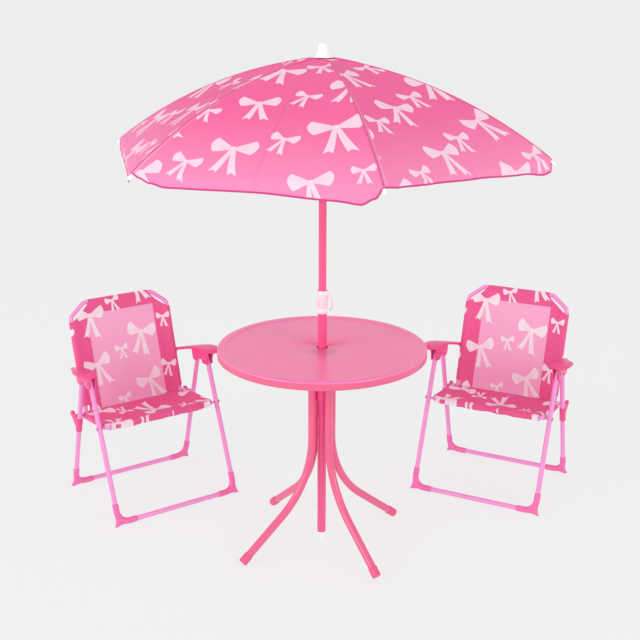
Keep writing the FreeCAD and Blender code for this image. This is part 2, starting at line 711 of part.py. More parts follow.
def back(chair, points, place):
    """Back frame with cut upper corners, and its sling."""
    lean = math.radians(dim.back_lean)
    upward = Vector(-math.sin(lean), 0, math.cos(lean))
    standing = plane_place(points["seat_end"], upward)
    half, length = dim.back_half_width, dim.back_length
    radius = dim.seat_tube / 2
    low = -7.0
    shoulder = length - dim.back_corner
    top = half - dim.back_corner_width
    corners = [(half, low), (half, shoulder), (top, length),
               (-top, length), (-half, shoulder), (-half, low)]
    path = bent_path([Vector(across, up, 0) for across, up in corners], dim.back_bend)
    tube = swept_tube(path, radius, dim.seat_wall)
    solid = swept_rod(path, radius - dim.seat_wall / 2)
    for shape in (tube, solid):
        shape.Placement = standing
    tube = tube.fuse([tab.cut(solid) for tab in arm_tabs(points, upward, 0.0)])
    drills = both_pins(points["seat_end"], half - 10, half + 10, dim.bolt_diameter / 2 + RUNNING)
    drills += both_pins(points["arm_end"], half - 1, half + 10, dim.rivet_diameter / 2 + 0.5)
    feature(f"{chair}_back_frame", tube.cut(drills), place)

    gap = dim.sling_corner_gap
    thick = dim.sling / 2
    side_top = shoulder - gap
    rim = [(half, dim.sling_foot), (half, side_top), (top - gap, length), (-top + gap, length),
           (-half, side_top), (-half, dim.sling_foot)]
    web = prism([Vector(across, up, -thick) for across, up in rim], Vector(0, 0, dim.sling))
    wrap = radius + dim.sleeve
    wraps = [rod(wrap, Vector(gap - top, length, 0), Vector(top - gap, length, 0))]
    for edge in (half, -half):
        wraps.append(rod(wrap, Vector(edge, dim.sling_foot, 0), Vector(edge, side_top, 0)))
    cloth = web.fuse(wraps).cut(swept_rod(path, radius + SEATED))
    cloth.Placement = standing
    feature(f"{chair}_back_sling", cloth.cut(arm_tabs(points, upward, 1.0)), place)


# along the arm from its front pivot, and out from the chair's middle
ARM_OUTLINE = [(-166, 151.5), (-166, 160.5), (-122, 163.5), (-95, 173), (-62, 193), (-38, 204),
               (-12, 207), (12, 206), (27, 200), (34, 190), (35, 176), (31, 166), (20, 161),
               (-60, 157), (-120, 151.5)]
# along the arm, and height of the paddle's underside above the line of its pivots
ARM_ARCH = [(-168, -3.5), (-120, 6), (-80, 14), (-40, 20), (-10, 22), (15, 21), (37, 17)]
ARM_INNER, ARM_OUTER = 150.0, 210.0     # room that holds the whole paddle


def under_arch(depth):
    """The slice from the paddle's top down to a depth below its underside."""
    inward = [Vector(along, ARM_INNER, up + dim.arm_plate) for along, up in ARM_ARCH]
    top = Part.BSplineCurve()
    top.interpolate(inward)
    below = Part.BSplineCurve()
    below.interpolate([point - UP * (dim.arm_plate + depth) for point in inward])
    curves = [top, below, Part.LineSegment(below.StartPoint, top.StartPoint),
              Part.LineSegment(top.EndPoint, below.EndPoint)]
    edges = [curve.toShape() for curve in curves]
    face = Part.Face(Part.Wire(Part.__sortEdges__(edges)))
    return face.extrude(Vector(0, ARM_OUTER - ARM_INNER, 0))


def armrests(chair, points, place):
    """Two moulded armrests: a paddle with a forked socket for each leg and a lug at the back."""
    pivot = points["front_pivot"]
    ahead = (pivot - points["arm_end"]).normalize()
    upward = Vector(-ahead.z, 0, ahead.x)
    tilt = Placement(pivot, Rotation(ahead, Vector(0, 1, 0), upward, "XYZ"))
    high = dim.arm_lift + THROUGH
    slab = prism([Vector(along, across, -THROUGH) for along, across in ARM_OUTLINE],
                 Vector(0, 0, high + THROUGH))
    paddle = slab.common(under_arch(0.0))
    rear = tilt.inverse().multVec(points["rear_pivot"])
    half = dim.leg_half_width
    face = dim.chair_tube / 2 + SIDE
    cheek = dim.arm_cheek / 2
    blocks = []
    for socket, drop in ((Vector(0, 0, 0), 15.0), (rear, 9.0)):
        for inner in (half - face - dim.arm_wall, half + face):
            blocks.append(block(Vector(socket.x - cheek, inner, socket.z - drop),
                                Vector(socket.x + cheek, inner + dim.arm_wall, high)))
    blocks.append(block(Vector(-14.5, half - face, dim.arm_lift - 3), Vector(-11.8, half + face, high)))
    end = -(points["arm_end"] - pivot).Length
    lug_inner = dim.back_half_width + 8.5
    blocks.append(block(Vector(end - 8, lug_inner, -7), Vector(end + 12, lug_inner + 5.5, high)))
    blocks = [solid.common(under_arch(THROUGH)) for solid in blocks]
    radius = dim.rivet_diameter / 2
    across = Vector(0, face + 1, 0)
    middle = Vector(rear.x, half, rear.z)
    pegs = [rod(radius, middle - across, middle + across),
            rod(radius, Vector(end, dim.back_half_width + 3.5, 0), Vector(end, lug_inner + 1.5, 0))]
    arm = paddle.fuse(blocks + pegs)
    arm = arm.cut(rod(radius + RUNNING, Vector(0, half - 20, 0), Vector(0, half + 20, 0)))
    arm.Placement = tilt
    feature(f"{chair}_armrests", pair(arm), place)


# ahead of the rear leg's centre, and up from where the bolt rests
BRACKET_OUTLINE = [(-2, -34), (-8, -38), (-40, -8), (-48, -6), (-48, 5), (-38, 8), (-29, 0), (0, 0)]


def brackets(chair, points, place):
    """Sleeves on the rear legs with a cradle behind each that the seat's bolt rests in."""
    foot, pivot = points["rear_foot"], points["rear_pivot"]
    upward = (pivot - foot).normalize()
    rest = points["seat_end"].z - dim.bolt_diameter / 2 - 0.3
    middle = foot + upward * ((rest - foot.z) / upward.z)
    side = Vector(0, dim.leg_half_width, 0)
    radius = dim.chair_tube / 2
    sleeve = rod(radius + dim.bracket_wall, middle + side - upward * (dim.bracket_length - 2),
                 middle + side + upward * 2)
    wing_half = Vector(0, radius - 1, 0)
    wing = prism([middle + side - wing_half + Vector(across, 0, up) for across, up in BRACKET_OUTLINE],
                 wing_half * 2)
    bracket = sleeve.fuse(wing).cut(rod(radius + SEATED, foot + side, pivot + side))
    feature(f"{chair}_brackets", pair(bracket), place)


def rivets(chair, points, place):
    """Rivets of the front frame: arm pivots at the top and seat pivots lower down."""
    half = dim.leg_half_width
    face = dim.chair_tube / 2 + SIDE
    radius = dim.rivet_diameter / 2
    groups = []
    for point, inner in ((points["front_pivot"], half - face - dim.arm_wall - 0.6),
                         (points["seat_pivot"], dim.seat_half_width - 1)):
        outer = half + face + dim.arm_wall if point.z > dim.seat_pivot_z + 1 else half + dim.chair_tube / 2
        rivet = pin_at(point, inner, outer + 0.3, radius)
        rivet = rivet.fuse(pin_at(point, outer + 0.3, outer + 2, radius * 1.8))
        groups += [rivet, mirrored(rivet)]
    feature(f"{chair}_rivets", Part.makeCompound(groups), place)


def chairs():
    """Two identical folding chairs."""
    points = chair_points()
    for chair, (x, y, heading) in CHAIRS.items():
        place = turned_about(heading, x, y)
        leg_frame(chair, "front", points["front_foot"], points["front_pivot"],
                  [points["front_pivot"], points["seat_pivot"]], place)
        leg_frame(chair, "rear", points["rear_foot"], points["rear_pivot"], [points["rear_pivot"]], place)
        seat(chair, points, place)
        back(chair, points, place)
        armrests(chair, points, place)
        brackets(chair, points, place)
        rivets(chair, points, place)


# ---------------------------------------------------------------- build and export

table_top()
table_hub()
pole_socket()
table_legs()
poles()
collar()
crown_and_finial()
runner()
ribs()
canopy()
chairs()
doc.recompute()

for item in doc.Objects:
    if "Invalid" in item.State or "Error" in item.State:
        raise RuntimeError(f"{item.Label} failed: {item.State}")
os.makedirs("parts", exist_ok=True)
for piece in pieces:
    if piece.Shape.isNull() or not piece.Shape.isValid():
        raise RuntimeError(f"{piece.Label} has no valid shape")
for piece in pieces:
    piece.Shape.exportStep(f"parts/{piece.Label}.step")
print(len(pieces), "pieces")
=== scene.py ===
"""Looks of the children's table, parasol and folding chairs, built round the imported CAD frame."""
import bmesh
import bpy
import json
import math
import re

from mathutils import Matrix, Vector, noise


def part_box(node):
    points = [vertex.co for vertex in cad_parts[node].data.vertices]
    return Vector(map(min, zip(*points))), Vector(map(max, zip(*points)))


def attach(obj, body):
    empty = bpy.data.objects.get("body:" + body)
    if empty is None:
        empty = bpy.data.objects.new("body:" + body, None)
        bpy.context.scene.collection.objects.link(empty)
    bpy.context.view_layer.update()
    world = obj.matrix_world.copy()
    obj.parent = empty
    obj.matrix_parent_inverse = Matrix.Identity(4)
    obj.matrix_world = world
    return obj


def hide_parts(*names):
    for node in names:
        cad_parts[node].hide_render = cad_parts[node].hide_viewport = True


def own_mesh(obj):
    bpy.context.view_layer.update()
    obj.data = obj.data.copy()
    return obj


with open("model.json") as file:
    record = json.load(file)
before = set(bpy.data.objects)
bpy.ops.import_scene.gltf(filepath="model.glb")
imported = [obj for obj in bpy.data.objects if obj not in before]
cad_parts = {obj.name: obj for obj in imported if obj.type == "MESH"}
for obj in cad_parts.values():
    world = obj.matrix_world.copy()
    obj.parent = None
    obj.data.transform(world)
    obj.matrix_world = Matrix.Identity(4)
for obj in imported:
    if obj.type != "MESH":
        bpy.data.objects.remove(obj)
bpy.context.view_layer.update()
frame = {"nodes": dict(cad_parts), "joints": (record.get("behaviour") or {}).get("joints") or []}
NODES = frame["nodes"]
JOINTS = {joint["name"]: joint for joint in frame["joints"]}
CHAIRS = ("left_chair", "right_chair")
SIDES = {-1: "right", 1: "left"}
ACROSS = Vector((0, 1, 0))
UP = Vector((0, 0, 1))
MM = 0.001

# sizes that the CAD model and the looks share, in metres
CHAIR_TUBE = 6.5 * MM
LEG_HALF = 172 * MM
SEAT_HALF = 155.5 * MM
BACK_HALF = 143 * MM
SEAT_PIVOT_X = 54.65 * MM
SEAT_FRONT_X = 62 * MM
BACK_LENGTH = 297 * MM
BACK_CORNER = 34 * MM
BACK_TOP_HALF = 101 * MM
CORNER_LENGTH = 50 * MM
FOOT_REACH = 144.5 * MM
FOOT_HEIGHT = 8 * MM
FOOT_BEND = 30 * MM
SOLE = 0.2 * MM         # lowest height of a foot
RIBS = 6
RIB_BOW = 33 * MM
MOST_TURN = 0.80        # widest spread of the printed bows' turns, in radians


# ================================================================ shader arithmetic

def add_node(tree, kind, inputs, **settings):
    """A shader node. Its inputs, by name or number, are values, or fields and sockets to link."""
    node = tree.nodes.new("ShaderNode" + kind)
    for setting, value in settings.items():
        setattr(node, setting, value)
    for slot, value in inputs.items():
        if isinstance(value, Field):
            value = value.source
        if isinstance(value, bpy.types.NodeSocket):
            tree.links.new(value, node.inputs[slot])
        else:
            node.inputs[slot].default_value = value
    return node


def chain(operation):
    """A method of Field that adds one math node."""
    return lambda self, *others: self.math(operation, *others)


class Field:
    """A number that varies over a surface, built from math nodes of one node tree."""

    def __init__(self, tree, source):
        self.tree = tree
        self.source = source

    def math(self, operation, *others):
        values = dict(enumerate((self, *others)))
        return Field(self.tree, add_node(self.tree, "Math", values, operation=operation).outputs[0])

    __add__, __sub__ = chain("ADD"), chain("SUBTRACT")
    __mul__, __truediv__ = chain("MULTIPLY"), chain("DIVIDE")
    low, high, size = chain("MINIMUM"), chain("MAXIMUM"), chain("ABSOLUTE")

    def __neg__(self):
        return self * -1.0

    def edge(self, softness):
        """1 where the field is positive, 0 where it is negative, with a soft edge."""
        ramp = add_node(self.tree, "MapRange", {"Value": self, "From Min": -softness, "From Max": softness},
                        interpolation_type="SMOOTHSTEP")
        return Field(self.tree, ramp.outputs["Result"])


def bow_group():
    """Node group: a ribbon bow round the origin. Its numbers are in lengths of a loop."""
    tree = bpy.data.node_groups.new("ribbon_bow", "ShaderNodeTree")
    for name in ("Across", "Up"):
        tree.interface.new_socket(name, in_out="INPUT", socket_type="NodeSocketFloat")
    for name in ("Bow", "Lines"):
        tree.interface.new_socket(name, in_out="OUTPUT", socket_type="NodeSocketFloat")
    entry = tree.nodes.new("NodeGroupInput")
    across = Field(tree, entry.outputs["Across"])
    up = Field(tree, entry.outputs["Up"])
    side = across.size()

    rise = up - side * 0.20
    taper = side * 0.50 + 0.05
    end = (rise * rise) * -0.9 + 1.0 - side
    loop = (taper - rise.size()).math("SMOOTH_MIN", end * 1.5, 0.16)

    down = -up
    spread = side - (down * down * 0.07 + down * 0.15 + 0.05)
    width = down * 0.075 + 0.075
    notch = spread.size() / width * 0.13 + 1.40 + across * 0.12
    tail = (width - spread.size()).low(down - 0.04).low(notch - down)

    knot_distance = (across * across + up * up * 1.2).math("SQRT")
    knot = knot_distance * -1.0 + 0.155
    bow = loop.high(tail).high(knot).edge(0.016)

    ring = (knot_distance - 0.175).size() * -1.0 + 0.012
    slope = (rise / side.high(0.05)).size()
    stretch = (side - 0.22).low(side * -1.0 + 0.58)
    pleat = ((slope - 0.16).size() * -1.0 + 0.026).low(stretch)
    outer_pleat = ((slope - 0.34).size() * -1.0 + 0.020).low((side - 0.30).low(side * -1.0 + 0.46))
    crease = (spread.size() * -1.0 + 0.009).low(down - 0.34).low(down * -1.0 + 1.05)
    lines = ring.high(pleat).high(outer_pleat).high(crease).edge(0.012)

    leave = tree.nodes.new("NodeGroupOutput")
    tree.links.new(bow.source, leave.inputs["Bow"])
    tree.links.new(lines.source, leave.inputs["Lines"])
    return tree


def bow_lattice(tree, uv, pitch, reach, shift, seed):
    """Bows on a staggered lattice, each turned, moved and sized by chance, and their inner lines."""
    column = (uv[0] + shift[0]) / pitch[0]
    column_cell = column.math("FLOOR")
    stagger = column_cell.math("MODULO", 2.0).size() * 0.5
    row = (uv[1] + shift[1]) / pitch[1] + stagger
    row_cell = row.math("FLOOR")
    cell = add_node(tree, "CombineXYZ", {0: column_cell, 1: row_cell, 2: seed}).outputs[0]
    chance = add_node(tree, "TexWhiteNoise", {"Vector": cell}, noise_dimensions="3D").outputs["Color"]
    parts = add_node(tree, "SeparateColor", {0: chance})
    size, turn, aside = (Field(tree, parts.outputs[index]) for index in range(3))

    low, high = reach
    scale = size * (high - low) + low
    turn = (turn - 0.5) * MOST_TURN
    x = (column - column_cell - 0.5) * pitch[0] + (aside - 0.5) * pitch[0] * 0.10
    y = (row - row_cell - 0.5) * pitch[1] - high * 0.42
    cosine, sine = turn.math("COSINE"), turn.math("SINE")
    group = add_node(tree, "Group", {"Across": (x * cosine + y * sine) / scale,
                                     "Up": (y * cosine - x * sine) / scale}, node_tree=BOWS)
    return Field(tree, group.outputs["Bow"]), Field(tree, group.outputs["Lines"])


def bow_print(tree, uv, pitch, large, small, shift, seed):
    """Large bows with small ones in the gaps between them."""
    bows, lines = bow_lattice(tree, uv, pitch, large, shift, seed)
    offset = (shift[0] + pitch[0] * 0.5, shift[1] + pitch[1] * 0.21)
    small_bows, small_lines = bow_lattice(tree, uv, pitch, small, offset, seed + 7)
    return bows.high(small_bows), lines.high(small_lines)


# ================================================================ materials

def linear(red, green, blue):
    """Screen colour, 0 to 255, as the linear colour that shaders use."""
    def channel(value):
        value /= 255.0
        return value / 12.92 if value <= 0.04045 else ((value + 0.055) / 1.055) ** 2.4
    return (channel(red), channel(green), channel(blue), 1.0)


class Finish:
    """A material with its shader and the few node chains that every finish here uses."""

    def __init__(self, name, colour, roughness, **sockets):
        self.material = bpy.data.materials.new(name)
        self.material.use_nodes = True
        self.tree = self.material.node_tree
        self.shader = self.tree.nodes["Principled BSDF"]
        self.colour = colour
        self.relief = {}
        self.set("Base Color", colour)
        self.set("Roughness", roughness)
        for socket, value in sockets.items():
            self.set(socket.replace("_", " "), value)

    def set(self, socket, value):
        self.shader.inputs[socket].default_value = value

    def paint(self, source, socket="Base Color"):
        self.tree.links.new(source, self.shader.inputs[socket])

    def place(self):
        """The piece's own coordinates, in metres."""
        return add_node(self.tree, "TexCoord", {}).outputs["Object"]

    def split(self, vector):
        """A vector's three numbers."""
        return [Field(self.tree, part) for part in add_node(self.tree, "SeparateXYZ", {0: vector}).outputs]

    def noise(self, scale, detail):
        inputs = {"Scale": scale, "Detail": detail, "Vector": self.place()}
        return Field(self.tree, add_node(self.tree, "TexNoise", inputs).outputs["Fac"])

    def mix(self, share, first, second):
        """Colour that goes from first to second with share. Either may be a colour or a socket."""
        return add_node(self.tree, "Mix", {0: share, 6: first, 7: second}, data_type="RGBA").outputs[2]

    def roughen(self, field, low, high):
        self.paint((field * (high - low) + low).source, "Roughness")

    def bump(self, field, distance, strength):
        node = add_node(self.tree, "Bump", {"Distance": distance, "Strength": strength, "Height": field,
                                            **self.relief})
        self.relief = {"Normal": node.outputs["Normal"]}
        self.paint(node.outputs["Normal"], "Normal")

    def shade(self, factor):
        """The finish's own colour, lighter or darker."""
        return tuple(min(1.0, channel * factor) for channel in self.colour[:3]) + (1.0,)


def painted_metal(name, colour, roughness):
    """Powder coat or lacquer: fine orange peel, faint cloudiness and dust."""
    finish = Finish(name, colour, roughness, Coat_Weight=0.35, Coat_Roughness=0.22)
    finish.paint(finish.mix(finish.noise(14.0, 4.0), finish.shade(0.93), finish.shade(1.05)))
    finish.roughen(finish.noise(60.0, 3.0), roughness - 0.05, roughness + 0.08)
    finish.bump(finish.noise(900.0, 2.0), 0.00012, 0.35)
    return finish.material


def moulded_plastic(name, colour, roughness):
    """Injection-moulded plastic: a light moulded grain and soft gloss."""
    finish = Finish(name, colour, roughness, Specular_IOR_Level=0.5, Subsurface_Weight=0.04)
    finish.set("Subsurface Radius", (0.004, 0.002, 0.002))
    finish.paint(finish.mix(finish.noise(22.0, 3.0), finish.shade(0.95), finish.shade(1.04)))
    finish.roughen(finish.noise(150.0, 2.0), roughness - 0.04, roughness + 0.07)
    finish.bump(finish.noise(1400.0, 2.0), 0.00008, 0.4)
    return finish.material


def weave(across, up, pitch):
    """Height of a plain weave: two crossed sets of threads."""
    warp = (across * (math.tau / pitch)).math("SINE")
    weft = (up * (math.tau / pitch)).math("SINE")
    return (warp * weft).size() * 0.6 + (warp.size().high(weft.size())) * 0.4


class Cloth(Finish):
    """Woven cloth with a print of ribbon bows, in UV coordinates that are metres of cloth."""

    def __init__(self, name, ground, thread):
        super().__init__(name, ground, 0.68, Sheen_Weight=0.16, Sheen_Roughness=0.4,
                         Sheen_Tint=linear(255, 170, 205), Specular_IOR_Level=0.25)
        layer = add_node(self.tree, "UVMap", {}, uv_map="metres")
        self.uv = self.split(layer.outputs["UV"])[:2]
        self.thread = thread
        self.base = self.mix(self.noise(9.0, 4.0), self.shade(0.95), self.shade(1.04))

    def print_bows(self, pitch, large, small, shift, seed, motif, line):
        """Prints the bows and their inner lines over the ground."""
        bows, lines = bow_print(self.tree, self.uv, pitch, large, small, shift, seed)
        faded = self.noise(35.0, 3.0) * 0.08 + 0.90
        self.base = self.mix(bows * faded, self.base, motif)
        self.base = self.mix(lines * bows * 0.6, self.base, line)

    def finish(self):
        """Adds the weave's relief and gives the material."""
        threads = weave(*self.uv, self.thread)
        self.paint(self.mix(threads * 0.08, self.base, self.shade(0.6)))
        self.bump(threads, self.thread * 0.18, 0.5)
        self.bump(self.noise(120.0, 3.0), 0.0006, 0.25)
        return self.material


def canopy_cloth():
    """Canopy polyester: mid pink, with painted light that makes it paler below a height, towards the hem.
    """
    cloth = Cloth("canopy_print", linear(248, 104, 162), 0.0007)
    height = cloth.split(cloth.place())[2]
    # painted light: below about 1.04 m the cloth is mixed up to three quarters of the way to a paler pink,
    # standing in for the floor's light on the lower canopy
    light = (-height + 1.04).edge(0.075)
    cloth.base = cloth.mix(light * 0.75, cloth.base, linear(253, 152, 198))
    cloth.print_bows((0.176, 0.170), (0.044, 0.056), (0.024, 0.034), (0.02, 0.05), 3.0,
                     linear(254, 222, 237), linear(246, 165, 200))
    return cloth.finish()


def sling_cloth(name, colours, panel, seed, shift):
    """Chair mesh: a doubled darker border round a lighter single layer."""
    border, single = colours
    cloth = Cloth(name, border, 0.0014)
    across, up = cloth.uv
    half, low, high = panel
    inside = (across.size() * -1.0 + half).low(up - low).low(up * -1.0 + high)
    cloth.base = cloth.mix(inside.edge(0.0012), cloth.base, single)
    cloth.print_bows((0.142, 0.136), (0.037, 0.043), (0.019, 0.024), shift, seed,
                     linear(255, 248, 252), linear(250, 190, 220))
    material = cloth.finish()
    stitch_line = (inside + 0.0025).size() * -1.0 + 0.0006
    dashes = ((across + up) * (math.tau / 0.0045)).math("SINE") + 0.5
    cloth.bump(stitch_line.low(dashes * 0.001).edge(0.0004), 0.0006, 0.8)
    return material


def plain_cloth(name, colour):
    """Binding tape and seam cloth: one colour with a ribbed weave."""
    finish = Finish(name, colour, 0.75, Sheen_Weight=0.3)
    finish.paint(finish.mix(finish.noise(30.0, 3.0), finish.shade(0.88), finish.shade(1.08)))
    finish.bump(finish.noise(1.0 / 0.0009, 1.0), 0.0003, 0.5)
    return finish.material


BOWS = bow_group()
TABLE_PAINT = painted_metal("table_top_paint", linear(251, 134, 188), 0.3)
# painted shade: a darker copy of the table top's pink, for the rim's side and underside, which face away
# from the light
SHADED_RIM_PAINT = painted_metal("table_rim_painted_shade", linear(238, 98, 142), 0.34)
LEG_PAINT = painted_metal("table_leg_paint", linear(238, 98, 142), 0.3)
POLE_PAINT = painted_metal("pole_paint", linear(249, 92, 150), 0.26)
WHITE_PLASTIC = moulded_plastic("white_plastic", linear(253, 253, 254), 0.35)
WHITE_WIRE = painted_metal("white_wire", linear(236, 236, 240), 0.3)
CHAIR_PAINT = painted_metal("chair_tube_paint", linear(247, 152, 216), 0.2)
CHAIR_PLASTIC = moulded_plastic("chair_plastic", linear(246, 78, 148), 0.32)
FOOT_PLASTIC = moulded_plastic("foot_plastic", linear(246, 112, 178), 0.34)
LEG_PLASTIC = moulded_plastic("leg_cap_plastic", linear(238, 92, 138), 0.4)
RIVET_PAINT = painted_metal("rivet_paint", linear(232, 120, 184), 0.26)
CANOPY_CLOTH = canopy_cloth()
BINDING = plain_cloth("hem_binding", linear(214, 52, 134))
# a real tape over each rib's seam, coloured darker than the canopy cloth as painted shade for the shadow
# along the seam
SHADED_SEAM_TAPE = plain_cloth("seam_tape_painted_shade", linear(222, 78, 140))
BACK_CLOTH = sling_cloth("back_sling_print", (linear(244, 100, 158), linear(255, 184, 220)),
                         (0.098, -0.10, 0.264), 11.0, (0.02, 0.03))
SEAT_CLOTH = sling_cloth("seat_sling_print", (linear(243, 96, 156), linear(243, 100, 158)),
                         (0.40, -0.40, 0.40), 23.0, (0.05, 0.01))


# ================================================================ mesh helpers

class Build:
    """Collects points and faces of one mesh from several patches."""

    def __init__(self):
        self.points, self.faces, self.uvs, self.flat = [], [], [], []

    def grid(self, rows, uv_rows=None, closed=False, flip=False):
        """A patch through rows of points; closed joins each row's end to its start."""
        base = len(self.points)
        width = len(rows[0])
        for index, row in enumerate(rows):
            self.points += row
            self.uvs += uv_rows[index] if uv_rows else [(0.0, 0.0)] * width
        span = width if closed else width - 1
        for down in range(len(rows) - 1):
            for along in range(span):
                after = (along + 1) % width
                face = [base + down * width + along, base + down * width + after,
                        base + (down + 1) * width + after, base + (down + 1) * width + along]
                self.faces.append(face[::-1] if flip else face)
        return base

    def fan(self, ring, flip=False):
        """One face that closes a ring of point numbers."""
        self.faces.append(list(ring)[::-1] if flip else list(ring))

    def rim(self, first, second, sides, flip=False):
        """Faces between two rings of points that start at first and second."""
        for side in range(sides):
            after = (side + 1) % sides
            self.fan([first + side, second + side, second + after, first + after], flip)

    def piece(self, name, material, uvs=False):
        """The mesh object. Its UVs, if wanted, are one pair in metres for each point."""
        mesh = bpy.data.meshes.new(name)
        mesh.from_pydata([tuple(point) for point in self.points], [], self.faces)
        mesh.materials.append(material)
        if uvs:
            layer = mesh.uv_layers.new(name="metres")
            for loop in mesh.loops:
                layer.data[loop.index].uv = self.uvs[loop.vertex_index]
        flat = set(self.flat)
        mesh.polygons.foreach_set("use_smooth", [index not in flat for index in range(len(self.faces))])
        mesh.validate()
        mesh.update()
        piece = bpy.data.objects.new(name, mesh)
        bpy.context.scene.collection.objects.link(piece)
        return piece


def belongs(pieces, body, node):
    """Puts pieces on a body, in a CAD node's place; the node is hidden."""
    for piece in pieces:
        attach(piece, body)
        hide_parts(node)


def apply_modifiers(piece):
    """Makes what the modifiers show the piece's own mesh."""
    graph = bpy.context.evaluated_depsgraph_get()
    graph.update()
    mesh = bpy.data.meshes.new_from_object(piece.evaluated_get(graph))
    piece.modifiers.clear()
    piece.data = mesh
    return piece


def rounded(piece, width):
    """Rounds the edges of a moulded piece."""
    bevel = piece.modifiers.new("edges", "BEVEL")
    bevel.width = width
    bevel.segments = 3
    bevel.limit_method = "ANGLE"
    bevel.angle_limit = math.radians(28)
    return apply_modifiers(piece)


def lathe(name, outline, material, segments, place=Matrix()):
    """An outline of (radius, height) pairs turned about the vertical, with its ends closed."""
    build = Build()
    angles = [math.tau * step / segments for step in range(segments)]
    rows = [[place @ Vector((radius * math.cos(angle), radius * math.sin(angle), height))
             for angle in angles] for radius, height in outline]
    first = build.grid(rows, closed=True)
    last = first + (len(rows) - 1) * segments
    if outline[0] != outline[-1]:
        build.fan(range(first, first + segments), flip=True)
        build.fan(range(last, last + segments))
    return build.piece(name, material)


def weld(piece):
    """Joins points that lie on each other."""
    modifier = piece.modifiers.new("weld", "WELD")
    modifier.merge_threshold = 0.01 * MM
    return apply_modifiers(piece)


def arc(centre, radius, start, end, steps):
    """Points of an arc, angles in degrees."""
    angles = [math.radians(start + (end - start) * step / steps) for step in range(steps + 1)]
    return [(centre[0] + radius * math.cos(angle), centre[1] + radius * math.sin(angle))
            for angle in angles]


def direction(path, index):
    """Which way a path of points runs at one of them."""
    return (path[min(index + 1, len(path) - 1)] - path[max(index - 1, 0)]).normalized()


def waver(across, along, seed):
    """Smooth noise between about -1 and 1."""
    return noise.noise(Vector((across, along, seed)))


def axes(first, second, third, origin):
    """The frame with these axes and this origin, as a matrix."""
    matrix = Matrix((first, second, third)).transposed().to_4x4()
    matrix.translation = origin
    return matrix


def tube_rings(path, radius, sides):
    """Rings of points round a path; radius is a function of the share along it and the angle."""
    rings = []
    normal = UP
    for index, point in enumerate(path):
        ahead = direction(path, index)
        normal = (normal - ahead * normal.dot(ahead)).normalized()
        side = ahead.cross(normal)
        ring = []
        for turn in range(sides):
            angle = math.tau * turn / sides
            reach = radius(index / (len(path) - 1), angle)
            ring.append(point + (normal * math.cos(angle) + side * math.sin(angle)) * reach)
        rings.append(ring)
    return rings


def chair_matrix(chair):
    """From a chair's own frame, x forward and y to its left, to the row frame."""
    side = Vector(JOINTS[chair + "_seat_fold"]["axis"]).normalized()
    ahead = side.cross(UP).normalized()
    pivot = Vector(JOINTS[chair + "_seat_fold"]["pos_m"])
    base = pivot - ahead * SEAT_PIVOT_X
    return axes(ahead, side, UP, Vector((base.x, base.y, 0)))


def chair_point(chair, joint):
    """A chair joint's place in the chair's own frame."""
    return chair_matrix(chair).inverted() @ Vector(JOINTS[f"{chair}_{joint}"]["pos_m"])


def smoothstep(low, high, value):
    """Share of the way from low to high, eased at both ends. Falls where low is over high."""
    share = min(1.0, max(0.0, (value - low) / (high - low)))
    return share * share * (3 - 2 * share)


# ================================================================ table

def table_top():
    """Pressed disc: flat middle, raised bead, rolled rim."""
    low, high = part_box("table_top")
    edge, top, bottom = high.x, high.z, low.z
    hole, bead, sheet = 13.5 * MM, 2.5 * MM, 1.2 * MM
    flat = top - bead
    outside = [(hole + 1.2 * MM, flat - sheet), (hole, flat - sheet * 0.5), (hole + 0.8 * MM, flat),
               (0.10, flat), (0.20, flat), (edge - 24 * MM, flat)]
    outside += [(edge - 24 * MM + share * 8 * MM, flat + bead * smoothstep(0, 1, share))
                for share in (0.15, 0.3, 0.5, 0.7, 0.85, 1.0)]
    outside += [(edge - 12 * MM, top), (edge - 7 * MM, top - 0.1 * MM)]
    outside += arc((edge - 4.5 * MM, top - 4.6 * MM), 4.5 * MM, 80, 0, 7)
    outside += [(edge - 0.2 * MM, top - 10 * MM), (edge, bottom + 4 * MM)]
    outside += arc((edge - 2.2 * MM, bottom + 2.2 * MM), 2.2 * MM, 0, -250, 12)
    inside = [(edge - 3.2 * MM, bottom + 6 * MM), (edge - 2 * MM, top - 8 * MM),
              (edge - 4.5 * MM, top - 2 * MM), (edge - 15 * MM, top - 1.3 * MM),
              (edge - 25 * MM, flat - sheet), (hole + 1.2 * MM, flat - sheet)]
    piece = lathe("table_top_pressed", outside + inside, TABLE_PAINT, 192)
    weld(piece)
    # painted shade: faces below the top near the edge, the rolled rim's side and underside, take the darker
    # copy of the paint
    piece.data.materials.append(SHADED_RIM_PAINT)
    for face in piece.data.polygons:
        if face.center.z < top - 3.5 * MM and math.hypot(face.center.x, face.center.y) > edge - 8 * MM:
            face.material_index = 1
    belongs([piece], "table", "table_top")


# ================================================================ parasol

def rib_circle():
    """Pivot, tip, centre and radius of a rib's arc in its own plane, as (radius, height) vectors."""
    joint = JOINTS["rib_1_hinge"]
    pivot = Vector((math.hypot(*joint["pos_m"][:2]), joint["pos_m"][2]))
    tip = Vector((RIB_REACH, TIP_HEIGHT))
    chord = tip - pivot
    across = Vector((-chord.y, chord.x)).normalized()
    radius = (chord.length ** 2 / 4 + RIB_BOW ** 2) / (2 * RIB_BOW)
    return pivot, tip, pivot + chord / 2 + across * (RIB_BOW - radius), radius


def rib_azimuth(number):
    """Direction that a rib points in, in radians."""
    pos = JOINTS[f"rib_{number}_hinge"]["pos_m"]
    return math.atan2(pos[1], pos[0])


def canopy_profile(share, offset):
    """Point of the cloth over a rib: share 0 at the mast and 1 at the rib's tip."""
    pivot, tip, centre, radius = rib_circle()
    first = math.atan2(pivot.y - centre.y, pivot.x - centre.x)
    last = math.atan2(tip.y - centre.y, tip.x - centre.x)
    start = first + (first - last) * 0.022
    angle = start + (last - start) * share
    reach = radius + offset
    return Vector((centre.x + reach * math.cos(angle), centre.y + reach * math.sin(angle)))


